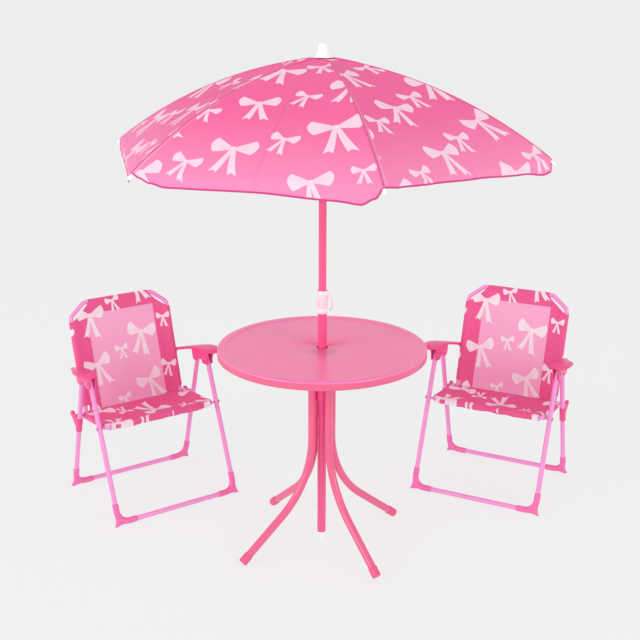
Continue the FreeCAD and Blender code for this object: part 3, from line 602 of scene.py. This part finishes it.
CLOTH_LIFT = 4.4 * MM
CLOTH = 0.9 * MM
PANEL_ROWS = 60
PANEL_COLUMNS = 26
HEM_ROWS = 10
HEM_STEPS = 104
LAP = 0.02             # how far a wedge reaches over the next one at a panel's middle
LAP_DEPTH = 0.5 * MM
RIB_REACH = 505 * MM
RIB_LENGTH = 545 * MM
TIP_HEIGHT = 983 * MM
CANOPY_SAG = 5.0 * MM   # of the cloth between two ribs
RIB_PULL = 1.4 * MM     # how far a rib lifts the cloth over it
RIPPLE = 2.2 * MM
TIP_FOLD = 1.3 * MM
HEM_SWAY = 4.0 * MM
LOOSE_HEM = ((0.0, 1.5), (0.03, 9), (0.08, 22), (0.5, 18), (0.92, 24), (0.97, 12), (1.0, 1.5))
HEMS = {  # by the rib that a panel starts at: depth of its hem in mm against the share from rib to rib
    5: ((0.0, 1.5), (0.03, 9), (0.08, 18), (0.14, 24), (0.5, 23), (0.80, 29), (0.91, 33), (0.965, 22),
        (1.0, 2)),
    6: ((0.0, 2), (0.1, 5), (0.25, 8), (0.5, 13), (0.8, 21), (0.94, 29), (0.985, 27), (1.0, 2)),
}


def table_value(table, share):
    """Value between the rows of a table of (share, value) pairs, eased at each row."""
    for (first, low), (last, high) in zip(table, table[1:]):
        if share <= last:
            return low + (high - low) * smoothstep(first, last, share)
    return table[-1][1]


def hem_depth(number, across):
    """How far the hem hangs under the line between two rib tips, beside rib number."""
    panel = number if across > 0 else (number - 2) % RIBS + 1
    share = abs(across) / 2 if across > 0 else 1 - abs(across) / 2
    return table_value(HEMS.get(panel, LOOSE_HEM), share) * MM


def canopy_point(number, share, across, drop=0.0, offset=0.0):
    """Point of the canopy beside a rib: across is 0 on the rib and 1 on the middle of the next panel."""
    azimuth = rib_azimuth(number)
    rib = canopy_profile(min(share, 1.0), CLOTH_LIFT + offset)
    half_turn = math.pi / RIBS
    straight = abs(across)
    reach = rib.x * (1 - straight * (1 - math.cos(half_turn) ** 2))
    sideways = rib.x * math.sin(half_turn) * math.cos(half_turn) * across
    loose = 1 - (1 - straight) ** 2
    length = math.sin(math.pi * min(share, 1.0) ** 0.9)
    sag = CANOPY_SAG * length * loose
    pull = RIB_PULL * math.exp(-(straight * 10) ** 2)
    outward = Vector((math.cos(across * half_turn), math.sin(across * half_turn)))
    bend = drop * 0.10 + drop * drop * 3.0
    fade = (1 - min(straight, 1.0)) ** 2
    ripple = waver(azimuth * 3 + across * 1.3, share * 3.0, 4.2) * RIPPLE * loose * fade
    tip_fold = math.sin(across * 26 + share * 9) * TIP_FOLD * smoothstep(0.80, 1.0, share)
    tip_fold *= math.exp(-(straight * 3.2) ** 2) * loose
    hang = waver(azimuth * 2 + across * 3.0, 7.7, 1.1) * HEM_SWAY * fade
    if across > 1:
        pull -= LAP_DEPTH
    flat = Vector((reach, sideways)) + outward * (bend + hang * drop / (20 * MM) - sag * 0.25)
    local = Vector((flat.x, flat.y, rib.y - sag + pull + ripple + tip_fold - drop))
    return Matrix.Rotation(azimuth, 3, "Z") @ local


def panel_rows(number, layer):
    """Rows of points and of cloth coordinates for one face of a wedge, from the mast to the hem."""
    columns = [column / PANEL_COLUMNS for column in range(-PANEL_COLUMNS, PANEL_COLUMNS + 1)] + [1 + LAP]
    rows = [[(share, across, 0.0) for across in columns]
            for share in ((step / PANEL_ROWS) ** 0.9 for step in range(PANEL_ROWS + 1))]
    rows += [[(1.0, across, hem_depth(number, across) * step / HEM_ROWS) for across in columns]
             for step in range(1, HEM_ROWS + 1)]
    points = [[canopy_point(number, share, across, drop, layer) for share, across, drop in row]
              for row in rows]
    uvs = [[panel_uv(number, share, across, drop) for share, across, drop in row] for row in rows]
    return points, uvs


def canopy():
    """Six wedges of cloth, each centred on a rib, with a bound hem, and a tape over each rib."""
    for number in range(1, RIBS + 1):
        build = Build()
        for layer, flip in ((0.0, False), (-CLOTH, True)):
            rows, uvs = panel_rows(number, layer)
            build.grid(rows, uvs, flip=flip)
        close_border(build, len(rows), len(rows[0]))
        wedge = build.piece(f"canopy_cloth_{number}", CANOPY_CLOTH, uvs=True)
        trims = [hem_binding(number), rib_tape(number)]
        belongs([wedge, *trims], f"rib_{number}", "canopy")
        for piece in (wedge, *trims):
            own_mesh(piece)


def close_border(build, rows, columns, start=0):
    """Joins the borders of two equal grids that were laid one after the other."""
    top, under = start, start + rows * columns
    border = list(range(columns))
    border += [row * columns + columns - 1 for row in range(1, rows)]
    border += [(rows - 1) * columns + column for column in range(columns - 2, -1, -1)]
    border += [row * columns for row in range(rows - 2, 0, -1)]
    for first, second in zip(border, border[1:] + border[:1]):
        build.flat.append(len(build.faces))
        build.faces.append([top + second, top + first, under + first, under + second])


def panel_uv(number, share, across, drop):
    """Cloth coordinates in metres, upright in a panel. A wedge's halves lie in different panels."""
    along = share * RIB_LENGTH + drop
    half = canopy_profile(min(share, 1.0), 0.0).x * math.sin(math.pi / RIBS)
    panel = (number if across > 0 else number - 1) % RIBS
    middle = half * (across - 1) if across > 0 else half * (across + 1)
    return (middle + 1.7 + panel * 3.1, 0.62 - along + panel * 0.37)


def strip(name, path, frames, half_width, half_depth, material):
    """A flat band with rounded edges along a path; frames give its width and depth directions."""
    sides = 10
    build = Build()
    rings = []
    for point, (wide, deep) in zip(path, frames):
        rings.append([point + wide * (half_width * math.cos(angle)) + deep * (half_depth * math.sin(angle))
                      for angle in (math.tau * side / sides for side in range(sides))])
    build.grid(rings, closed=True)
    last = len(build.points) - sides
    build.fan(range(sides), flip=True)
    build.fan(range(last, last + sides))
    return build.piece(name, material)


def hem_binding(number):
    """Folded tape that binds the lower edge of a wedge."""
    shares = [-1 + 2 * step / HEM_STEPS for step in range(HEM_STEPS + 1)]
    path = [canopy_point(number, 1.0, across, hem_depth(number, across) - 0.8 * MM, -CLOTH / 2)
            for across in shares]
    frames = []
    for index, across in enumerate(shares):
        ahead = direction(path, index)
        facing = rib_azimuth(number) + across * math.pi / RIBS
        outward = Vector((math.cos(facing), math.sin(facing), 0))
        outward = (outward - ahead * outward.dot(ahead)).normalized()
        frames.append((ahead.cross(outward), outward))
    return strip(f"canopy_hem_{number}", path, frames, 2.0 * MM, 1.0 * MM, BINDING)


def rib_tape(number):
    """Narrow tape sewn over the seam along a rib."""
    azimuth = rib_azimuth(number)
    side = Vector((-math.sin(azimuth), math.cos(azimuth), 0))
    path = [canopy_point(number, 0.03 + 0.965 * step / PANEL_ROWS, 0.0) for step in range(PANEL_ROWS + 1)]
    frames = [(side, direction(path, index).cross(side)) for index in range(len(path))]
    return strip(f"rib_tape_{number}", path, frames, 1.6 * MM, 0.9 * MM, SHADED_SEAM_TAPE)


def finial():
    """White knob that clamps the cloth at the top of the mast."""
    low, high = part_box("finial")
    base, top = low.z, high.z
    flange = high.x
    outline = [(0.0005, base), (flange - 1 * MM, base)]
    outline += arc((flange - 1 * MM, base + 1 * MM), 1 * MM, -90, 60, 5)
    outline += [(18.2 * MM, base + 3.4 * MM), (15.6 * MM, base + 6.5 * MM), (13.9 * MM, base + 11 * MM),
                (12.8 * MM, base + 16 * MM), (12.2 * MM, top - 9 * MM)]
    outline += [(12 * MM * math.cos(angle), top - 8.5 * MM + 8.5 * MM * math.sin(angle))
                for angle in [math.radians(step * 10) for step in range(0, 9)]]
    outline += [(0.0005, top)]
    piece = lathe("finial_knob", outline, WHITE_PLASTIC, 64)
    belongs([piece], "mast", "finial")


# side views of an ear and of the lever: radius from the pole and height over the pivot, in mm
EAR = ((11.5, -8), (19, -5), (21, -1), (21, 2), (18.5, 5), (11.5, 6.5))
HOOK = ((14.2, 3.2), (18.5, 3.4), (22.5, 0.5), (26.8, -7), (28.8, -16), (28.2, -25), (25.2, -32),
        (20.5, -36.6), (16.8, -37), (16.3, -33.6), (19.8, -31.6), (22.6, -27), (23.9, -20),
        (23.0, -12), (19.8, -6), (15, -3.5), (13.8, 0))


def collar():
    """Locking collar: ribbed sleeve with two ears, and its lever."""
    low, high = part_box("pole_collar")
    bottom, top = low.z, high.z
    outer = 12.8 * MM
    outline = [(10.75 * MM, bottom + 0.3 * MM)]
    outline += [(outer - 0.8 * MM, bottom), (outer, bottom + 0.9 * MM), (outer, bottom + 9 * MM),
                (outer - 0.7 * MM, bottom + 9.8 * MM), (outer - 0.7 * MM, bottom + 13 * MM),
                (outer, bottom + 13.8 * MM), (outer, top - 12 * MM), (outer + 0.6 * MM, top - 11 * MM),
                (outer + 0.6 * MM, top - 2 * MM), (outer - 0.6 * MM, top - 0.4 * MM),
                (outer - 2.4 * MM, top)]
    outline += [(9.6 * MM, top - 0.4 * MM), (9.6 * MM, top - 14 * MM), (10.75 * MM, top - 14.5 * MM),
                (10.75 * MM, bottom + 0.3 * MM)]
    sleeve = lathe("collar_sleeve", outline, WHITE_PLASTIC, 64)
    weld(sleeve)
    belongs([sleeve], "pole", "pole_collar")
    pivot = Vector(JOINTS["lever_swing"]["pos_m"])
    turn = Matrix.Rotation(math.atan2(pivot.y, pivot.x), 4, "Z")
    for side, label in SIDES.items():
        ear = moulded_plate("collar_ear_" + label, EAR, *sorted((4.5 * MM * side, 7.0 * MM * side)),
                            turn, WHITE_PLASTIC, 0.6 * MM, pivot.z)
        belongs([ear], "pole", "pole_collar")
    lever = moulded_plate("collar_hook", HOOK, -4.0 * MM, 4.0 * MM, turn, WHITE_PLASTIC, 1.3 * MM, pivot.z)
    belongs([lever], "lever", "collar_lever")


def moulded_plate(name, outline, first, last, place, material, edge, rise=0.0):
    """A plate with rounded edges: outline of (along, up) in mm, between two places across."""
    build = Build()
    for across in (first, last):
        build.points += [place @ Vector((along * MM, across, rise + up * MM)) for along, up in outline]
    count = len(outline)
    build.fan(range(count))
    build.fan(range(count, 2 * count), flip=True)
    for index in range(count):
        after = (index + 1) % count
        build.fan([index + count, after + count, after, index])
    piece = build.piece(name, material)
    recalculate(piece)
    return rounded(piece, edge)


def recalculate(piece):
    """Turns every face outwards."""
    work = bmesh.new()
    work.from_mesh(piece.data)
    bmesh.ops.recalc_face_normals(work, faces=work.faces)
    work.to_mesh(piece.data)
    work.free()


# ================================================================ chair slings

BACK_LEAN = 14.9        # degrees
SLING_THICKNESS = 1.1 * MM
SLEEVE_RADIUS = 7.3 * MM
SLEEVE_WALL = 0.8 * MM
SUNK = 0.2 * MM         # how far a sling's edge lies in its pockets
BACK_DIP, BACK_BELLY, SEAT_DIP, SEAT_SAG = 3.6 * MM, 3 * MM, 3.0 * MM, 7.5 * MM


def back_plane(chair):
    """From (across, up, forward) on the back's plane to the row frame."""
    foot = chair_point(chair, "back_fold")
    lean = math.radians(BACK_LEAN)
    upward = Vector((-math.sin(lean), 0, math.cos(lean)))
    forward = Vector((math.cos(lean), 0, math.sin(lean)))
    return chair_matrix(chair) @ axes(ACROSS, upward, forward, Vector((foot.x, 0, foot.z)))


def sheet_patch(build, place, columns, rows, surface, uv):
    """A thin closed sheet over a grid: surface gives (across, up, forward) for two shares."""
    start = len(build.points)
    face = [[Vector(surface(along / columns, down / rows)) for along in range(columns + 1)]
            for down in range(rows + 1)]
    uvs = [[uv(point) for point in row] for row in face]
    for layer, flip in ((0.0, False), (-SLING_THICKNESS, True)):
        build.grid([[place @ Vector((point.x, point.y, point.z + layer)) for point in row]
                    for row in face], uvs, flip=flip)
    close_border(build, rows + 1, columns + 1, start)


def sleeve_patch(build, place, start, end, seed, uv, loose):
    """Cloth pocket round a tube, from start to end in the sling's plane, with soft wrinkles."""
    steps, sides = 48, 22
    path = [start.lerp(end, step / steps) for step in range(steps + 1)]

    def reach(share, angle):
        wave = waver(share * 9 + seed, math.cos(angle) * 1.1, math.sin(angle) * 1.1)
        fine = waver(share * 26 + seed, math.cos(angle) * 2, math.sin(angle) * 2)
        return SLEEVE_RADIUS + loose * (0.5 + wave) + 0.25 * MM * fine

    def inner(share, angle):
        return reach(share, angle) - SLEEVE_WALL

    for radius, flip in ((reach, False), (inner, True)):
        rings = tube_rings(path, radius, sides)
        uv_rings = [[uv(point) for point in ring] for ring in rings]
        build.grid([[place @ point for point in ring] for ring in rings], uv_rings, closed=True, flip=flip)
    outer_start = len(build.points) - 2 * (steps + 1) * sides
    inner_start = outer_start + (steps + 1) * sides
    for row in (0, steps):
        build.rim(outer_start + row * sides, inner_start + row * sides, sides, flip=row == 0)


def back_sling(chair, seed):
    """Back cloth: taut between two side pockets and a top pocket, cut back at the corners."""
    place = back_plane(chair)
    foot, low, shoulder, top = 4 * MM, 20 * MM, BACK_LENGTH - BACK_CORNER - 14 * MM, BACK_LENGTH
    top_half = BACK_TOP_HALF - 13 * MM
    front = SLEEVE_RADIUS - SUNK

    def uv(point):
        return (point.x, point.y)

    def half_width(up):
        if up < low:
            return BACK_HALF - 9 * MM
        if up <= shoulder:
            return BACK_HALF
        share = (up - shoulder) / (top - shoulder)
        hollow = 3.5 * MM * math.sin(math.pi * share)
        return BACK_HALF + (top_half - BACK_HALF) * share - hollow

    def surface(along, down):
        up = foot + (top - foot) * (1 - down)
        across = (2 * along - 1) * half_width(up)
        to_side = BACK_HALF - abs(across)
        to_top = top - up
        dip = smoothstep(0, 26 * MM, min(to_side, to_top))
        height = min(1, max(0, (up - low) / (top - low)))
        belly = (1 - (across / BACK_HALF) ** 2) * math.sin(math.pi * height) * BACK_BELLY
        border = min(to_side - 45 * MM, to_top - 35 * MM)
        doubled = 0.8 * MM * (1 - smoothstep(-1.2 * MM, 1.2 * MM, border))
        pucker = waver(across * 14 + seed, up * 10, 1.7) * 1.6 * MM
        by_side = 1 - smoothstep(0, 45 * MM, to_side)
        by_top = 1 - smoothstep(0, 38 * MM, to_top)
        crease = waver(across * 40, up * 90 + seed, 5.1) * 1.2 * MM * by_side
        crease += waver(across * 80, up * 36 + seed, 8.1) * 1.0 * MM * by_top
        loose = smoothstep(0, 10 * MM, min(to_side, to_top))
        return (across, up, front - BACK_DIP * dip - belly + doubled + (pucker * dip + crease) * loose)

    build = Build()
    sheet_patch(build, place, 96, 96, surface, uv)
    for side in SIDES:
        edge = side * BACK_HALF
        sleeve_patch(build, place, Vector((edge, low, 0)), Vector((edge, shoulder, 0)),
                     seed + side, uv, 0.35 * MM)
    sleeve_patch(build, place, Vector((-top_half, top, 0)), Vector((top_half, top, 0)),
                 seed + 5, uv, 0.35 * MM)
    piece = build.piece(f"{chair}_back_cloth", BACK_CLOTH, uvs=True)
    belongs([piece], f"{chair}_back", f"{chair}_back_sling")


def seat_plane(chair):
    """From (across, backward, upward) on the seat's plane to the row frame."""
    front = chair_point(chair, "seat_fold")
    rear = chair_point(chair, "back_fold")
    backward = Vector((rear.x - front.x, 0, rear.z - front.z)).normalized()
    upward = Vector((backward.z, 0, -backward.x))
    local = axes(ACROSS, backward, upward, Vector((front.x, 0, front.z)))
    return chair_matrix(chair) @ local, (rear - front).length


def seat_sling(chair, seed):
    """Seat cloth: sags a little between two side pockets and a loose, wrinkled front pocket."""
    place, span = seat_plane(chair)
    front = SEAT_PIVOT_X - SEAT_FRONT_X
    rear = span - 10 * MM
    half = SEAT_HALF
    level = SLEEVE_RADIUS - SUNK

    def uv(point):
        return (point.x, -point.y)

    def surface(along, down):
        backward = front + (rear - front) * (1 - down)
        across = (2 * along - 1) * half
        if backward > span - 26 * MM:
            across *= 1 - 20 * MM / half * smoothstep(span - 30 * MM, span - 22 * MM, backward)
        to_side = half - abs(across)
        to_front = backward - front
        to_rear = rear - backward
        dip = smoothstep(0, 30 * MM, min(to_side, to_front * 0.9, to_rear * 0.8))
        length = to_front / (rear - front)
        sag = (1 - (across / half) ** 2) * math.sin(math.pi * length) * SEAT_SAG
        near_front = math.exp(-(to_front / (30 * MM)) ** 2)
        ripple = waver(across * 34 + seed, backward * 12, 2.3) * 5.0 * MM * near_front
        ripple += waver(across * 16 + seed, backward * 30, 9.3) * 2.4 * MM
        folds = math.sin((abs(across) * 0.8 + backward) * 210) * 0.9 * MM
        ripple += folds * near_front * smoothstep(0.04, 0.14, abs(across))
        ripple *= smoothstep(0, 12 * MM, min(to_side, to_rear))
        return (across, backward, level - SEAT_DIP * dip - sag + ripple)

    build = Build()
    sheet_patch(build, place, 110, 60, surface, uv)
    for side in SIDES:
        edge = side * half
        sleeve_patch(build, place, Vector((edge, span - 24 * MM, 0)), Vector((edge, front + 15 * MM, 0)),
                     seed + side, uv, 0.4 * MM)
    sleeve_patch(build, place, Vector((-half + 10 * MM, front, 0)), Vector((half - 10 * MM, front, 0)),
                 seed + 5, uv, 3.2 * MM)
    piece = build.piece(f"{chair}_seat_cloth", SEAT_CLOTH, uvs=True)
    belongs([piece], f"{chair}_seat", f"{chair}_seat_sling")


# ================================================================ chair plastics

def leg_line(chair, name):
    """A leg's foot and the way up along it, in the chair's own frame."""
    pivot = chair_point(chair, {"front": "arm_fold", "rear": "rear_fold"}[name])
    foot = Vector((FOOT_REACH if name == "front" else -FOOT_REACH, 0, FOOT_HEIGHT))
    return foot, Vector((pivot.x - foot.x, 0, pivot.z - foot.z)).normalized()


def foot_line():
    """Middle line of a leg's lower bend: points (across, up), direction out of it, and toe length."""
    centre = Vector((LEG_HALF - FOOT_BEND, FOOT_BEND))
    gap = FOOT_BEND - CORNER_LENGTH
    reach = FOOT_BEND + FOOT_OUTER
    line = [(Vector((LEG_HALF, CORNER_LENGTH + gap * step / FOOT_STRAIGHT)), 0.0, 0.0)
            for step in range(FOOT_STRAIGHT)]
    for step in range(FOOT_ARC + 1):
        angle = math.radians(90 * step / FOOT_ARC)
        edge = max(0.0, reach / max(math.cos(angle), math.sin(angle)) - FOOT_BEND - FOOT_OUTER)
        line.append((centre + Vector((math.cos(angle), -math.sin(angle))) * FOOT_BEND, angle,
                     TOE * (edge / (15.8 * MM)) ** 1.7))
    line += [(Vector((LEG_HALF - FOOT_BEND + gap * step / FOOT_STRAIGHT, 0)), math.pi / 2, 0.0)
             for step in range(1, FOOT_STRAIGHT + 1)]
    return line


FOOT_ARC, FOOT_STRAIGHT, FOOT_SIDES = 28, 6, 28     # rings in the bend and beside it, points in a ring
FOOT_INNER, FOOT_OUTER = CHAIR_TUBE + 0.1 * MM, 8.1 * MM
TOE = 20.5 * MM


def foot_ring(place, side, middle, angle, toe, lip):
    """One ring of a foot's outside, or of its inside where lip is None."""
    away = Vector((math.cos(angle), -math.sin(angle), 0))
    ring = []
    for turn in range(FOOT_SIDES):
        around = math.tau * turn / FOOT_SIDES
        reach, flat = FOOT_INNER, 1.0
        if lip is not None:
            reach = FOOT_OUTER - lip + toe * max(0.0, math.cos(around)) ** 5
            flat -= 0.18 * smoothstep(0, 12 * MM, toe) * abs(math.sin(around))
        spot = Vector((middle.x, middle.y, 0)) + away * (reach * math.cos(around))
        spot.z += reach * math.sin(around) * flat
        point = place @ Vector((spot.x * side, spot.y, spot.z))
        point.z = max(point.z, SOLE)
        ring.append(point)
    return ring


def feet(chair, name):
    """Moulded corners round the lower bends of a leg frame, each drawn out to a toe."""
    foot, upward = leg_line(chair, name)
    place = chair_matrix(chair) @ axes(ACROSS, upward, ACROSS.cross(upward), foot)
    build = Build()
    line = foot_line()
    last = len(line) - 1
    for side in SIDES:
        outside = [foot_ring(place, side, *spot, 0.5 * MM * smoothstep(2, 0, min(index, last - index)))
                   for index, spot in enumerate(line)]
        inside = [foot_ring(place, side, *spot, None) for spot in line]
        first = build.grid(outside, closed=True, flip=side < 0)
        second = build.grid(inside, closed=True, flip=side > 0)
        for row in (0, last):
            build.rim(first + row * FOOT_SIDES, second + row * FOOT_SIDES, FOOT_SIDES)
    piece = build.piece(f"{chair}_{name}_corners", FOOT_PLASTIC)
    recalculate(piece)
    body = chair if name == "front" else f"{chair}_rear"
    belongs([piece], body, f"{chair}_{name}_feet")


def arm_frame(chair):
    """From the armrest's own frame, x along it to the front and z out of its top, to the row frame."""
    ahead = Vector((158.5, 0, 15)).normalized()
    pivot = chair_point(chair, "arm_fold")
    local = axes(ahead, ACROSS, Vector((-ahead.z, 0, ahead.x)), Vector((pivot.x, 0, pivot.z)))
    return chair_matrix(chair) @ local


# armrest in mm: place along it, inner and outer edge from the chair's middle, underside's height
ARM_STATIONS = ((-166, 152.0, 160, -3.3), (-150, 151.6, 161.5, -0.3), (-120, 151.8, 164.5, 6),
                (-95, 154, 174, 11.3), (-62, 156.5, 193, 17), (-38, 157.5, 204, 20.2),
                (-12, 158.5, 207, 21.8), (12, 159.5, 206, 21.1), (27, 163, 200, 19.2),
                (33, 170, 193, 17.8), (35, 176, 187, 17.4))
ARM_THICK = 8 * MM
# side views of an armrest's parts, in mm along it and out of its top
CHEEK = ((-73, 18), (-71, -4), (-68, -11), (-62, -14.5), (-48, -14.5), (-42, -8), (-34, -3), (-24, -3),
         (-17, -9), (-13, -15.5), (9, -16), (13, -12), (14.5, 0), (18, 10), (26, 20), (12, 24), (-12, 25),
         (-38, 23))
ARM_LUG = ((-166.5, 2), (-166.5, -4), (-164, -7), (-157, -7), (-152, -5), (-140, 5), (-150, 4))
ARM_WEB = ((-14.5, 8), (-11.8, 8), (-11.8, 25), (-14.5, 25))
CHEEK_GAP = 6.9         # from a leg's centre to a cheek, in mm
CHEEK_WALL = 2.6


def station_values(table, along):
    """Values of a table between its rows, on a smooth curve through them."""
    last = len(table) - 1
    row = max(index for index in range(last) if table[index][0] <= along or index == 0)
    share = min(1.0, max(0.0, (along - table[row][0]) / (table[row + 1][0] - table[row][0])))
    values = []
    for column in range(1, len(table[0])):
        before, first, second, after = (table[min(max(row + step, 0), last)][column]
                                        for step in (-1, 0, 1, 2))
        slope_in, slope_out = (second - before) / 2, (after - first) / 2
        rise = second - first
        values.append(first + share * (slope_in + share * (3 * rise - 2 * slope_in - slope_out
                                                           + share * (slope_in + slope_out - 2 * rise))))
    return values


def rounding(distance, reach):
    """How full a paddle is near its end: 0 at the end and 1 from reach onwards, as a quarter circle."""
    return math.sqrt(max(0.0, 1 - (1 - min(1, distance / reach)) ** 2))


def arm_ring(place, side, along, sides):
    """One ring round an armrest: a rectangle with full corners and a crowned top."""
    inner, outer, under = station_values(ARM_STATIONS, along)
    to_end = min(along - ARM_STATIONS[0][0], ARM_STATIONS[-1][0] - along)
    thin = rounding(to_end, 2.5) * 0.9 + 0.1
    middle, half = (inner + outer) / 2, (outer - inner) / 2 * (rounding(to_end, 5) * 0.6 + 0.4)
    ring = []
    for turn in range(sides):
        around = math.tau * turn / sides
        across, up = (math.copysign(abs(value) ** 0.45, value)
                      for value in (math.cos(around), math.sin(around)))
        crown = 1.3 * MM * (1 - across * across) if up > 0 else 0.0
        height = under * MM + ARM_THICK / 2 + (up * ARM_THICK / 2 + crown) * thin - 0.6 * MM * max(0, up)
        ring.append(place @ Vector((along * MM, side * (middle + half * across) * MM, height)))
    return ring


def armrests(chair):
    """Arched, crowned paddles with cheeks on both sides of each leg and a lug for the back frame."""
    place = arm_frame(chair)
    stations, sides = 72, 36
    start, end = ARM_STATIONS[0][0], ARM_STATIONS[-1][0]
    near, far = LEG_HALF / MM - CHEEK_GAP, LEG_HALF / MM + CHEEK_GAP
    for side, label in SIDES.items():
        build = Build()
        shares = [0.5 - 0.5 * math.cos(math.pi * row / stations) for row in range(stations + 1)]
        build.grid([arm_ring(place, side, start + (end - start) * share, sides) for share in shares],
                   closed=True, flip=side < 0)
        last = len(build.points) - sides
        build.fan(range(sides), flip=side > 0)
        build.fan(range(last, last + sides), flip=side < 0)
        paddle = build.piece(f"{chair}_arm_{label}", CHAIR_PLASTIC)
        recalculate(paddle)
        parts = [paddle]
        for outline, first, last in ((CHEEK, near - CHEEK_WALL, near), (CHEEK, far, far + CHEEK_WALL),
                                     (ARM_LUG, 151.6, 157), (ARM_WEB, near - 0.5, far + 0.5)):
            parts.append(moulded_plate(f"{chair}_arm_part", outline, side * first * MM, side * last * MM,
                                       place, CHAIR_PLASTIC, 0.8 * MM))
        belongs(parts, f"{chair}_arms", f"{chair}_armrests")


# side view of a bracket's cradle, in mm behind and over the leg's middle
BRACKET_WING = ((1, 2), (-1.5, -36), (-9, -38.5), (-20, -27), (-41, -8.5), (-47, -7.5), (-49.5, -3),
                (-48.5, 4), (-44, 7), (-38, 6.5), (-30, 0.8), (-16, -0.5))


def brackets(chair):
    """Sleeves on the rear legs, each with a cradle behind it that the seat's bolt rests in."""
    foot, upward = leg_line(chair, "rear")
    rest = chair_point(chair, "back_fold").z - 3.3 * MM
    middle = foot + upward * ((rest - foot.z) / upward.z)
    chair_frame = chair_matrix(chair)
    inner, outer = CHAIR_TUBE + 0.1 * MM, CHAIR_TUBE + 2.1 * MM
    outline = [(inner, -40 * MM), (outer - 0.8 * MM, -40 * MM), (outer, -39 * MM), (outer, 1 * MM),
               (outer - 0.8 * MM, 2 * MM), (inner, 2 * MM), (inner, -40 * MM)]
    for side, label in SIDES.items():
        axis = middle + Vector((0, side * LEG_HALF, 0))
        turn = UP.rotation_difference(upward).to_matrix().to_4x4()
        turn.translation = axis
        sleeve = weld(lathe(f"{chair}_bracket_{label}", outline, CHAIR_PLASTIC, 40, chair_frame @ turn))
        wing = moulded_plate(f"{chair}_cradle_{label}", [(along - 7, up) for along, up in BRACKET_WING],
                             -4.2 * MM, 4.2 * MM, chair_frame @ Matrix.Translation(axis), CHAIR_PLASTIC,
                             1.4 * MM)
        belongs([sleeve, wing], f"{chair}_rear", f"{chair}_brackets")


# ================================================================ CAD nodes that keep their shape

# finish of a CAD node by the first pattern that its name matches
FINISHES = (("pole_tip|crown|runner|rib_tip.*", WHITE_PLASTIC), ("lower_pole|upper_pole", POLE_PAINT),
            ("table_leg_caps", LEG_PLASTIC), ("table_hub|table_leg_.*", LEG_PAINT),
            ("(rib|stretcher)_.*", WHITE_WIRE), (".*_(rivets|bolts|screws)", RIVET_PAINT),
            (".*_(feet|brackets|armrests|socket)", CHAIR_PLASTIC), (".*_frame", CHAIR_PAINT))


def node_finishes():
    """Gives the CAD nodes that show a finish by what they are."""
    for name, node in NODES.items():
        for pattern, material in FINISHES:
            if re.fullmatch(pattern, name):
                node.data.materials.clear()
                node.data.materials.append(material)
                break


# ================================================================ stage

SKY_LIGHT = 0.72
FLOOR_LIGHT = 0.74      # the floor's own light, which keeps it near white
CAMERA_PLACE = (0.0, -2.4136, 1.3310)
CAMERA_ANGLES = (17.25, -0.13, 0.18)    # pitch down, yaw and roll, in degrees


def studio():
    """Pale floor, soft light and the camera."""
    scene = bpy.context.scene
    scene.view_settings.view_transform = "Standard"
    world = bpy.data.worlds.new("studio")
    world.use_nodes = True
    background = world.node_tree.nodes["Background"]
    background.inputs["Color"].default_value = (1.0, 1.0, 1.0, 1.0)
    background.inputs["Strength"].default_value = SKY_LIGHT
    scene.world = world

    bpy.ops.mesh.primitive_plane_add(size=2000.0, location=(0, 0, -0.0005))
    floor = bpy.context.object
    floor.name = "floor"
    finish = Finish("studio_floor", (0.15, 0.15, 0.15, 1.0), 0.9, Specular_IOR_Level=0.0,
                    Emission_Color=(1.0, 1.0, 1.0, 1.0), Emission_Strength=FLOOR_LIGHT)
    floor.data.materials.append(finish.material)

    def area(name, place, aim, size, power):
        data = bpy.data.lights.new(name, "AREA")
        data.shape = "DISK"
        data.size = size
        data.energy = power
        light = bpy.data.objects.new(name, data)
        light.location = place
        light.rotation_euler = (Vector(aim) - Vector(place)).to_track_quat("-Z", "Y").to_euler()
        scene.collection.objects.link(light)

    area("key", (-3.2, -2.3, 2.0), (0, 0, 0.6), 2.4, 62)
    area("fill", (2.8, -2.6, 2.0), (0, 0, 0.6), 2.2, 40)

    data = bpy.data.cameras.new("camera")
    data.lens = 60.05
    data.sensor_width = 36.0
    camera = bpy.data.objects.new("camera", data)
    pitch, yaw, roll = (math.radians(angle) for angle in CAMERA_ANGLES)
    ahead = Vector((math.sin(yaw) * math.cos(pitch), math.cos(yaw) * math.cos(pitch), -math.sin(pitch)))
    level = Vector((math.cos(yaw), -math.sin(yaw), 0))
    upward = level.cross(ahead)
    right = level * math.cos(roll) + upward * math.sin(roll)
    top = upward * math.cos(roll) - level * math.sin(roll)
    camera.matrix_world = axes(right, top, -ahead, CAMERA_PLACE)
    scene.collection.objects.link(camera)
    scene.camera = camera


# ================================================================ build

studio()
node_finishes()
table_top()
canopy()
finial()
collar()
for number, chair in enumerate(CHAIRS):
    back_sling(chair, 3.0 + 4 * number)
    seat_sling(chair, 8.0 + 4 * number)
    for name in ("front", "rear"):
        feet(chair, name)
    armrests(chair)
    brackets(chair)
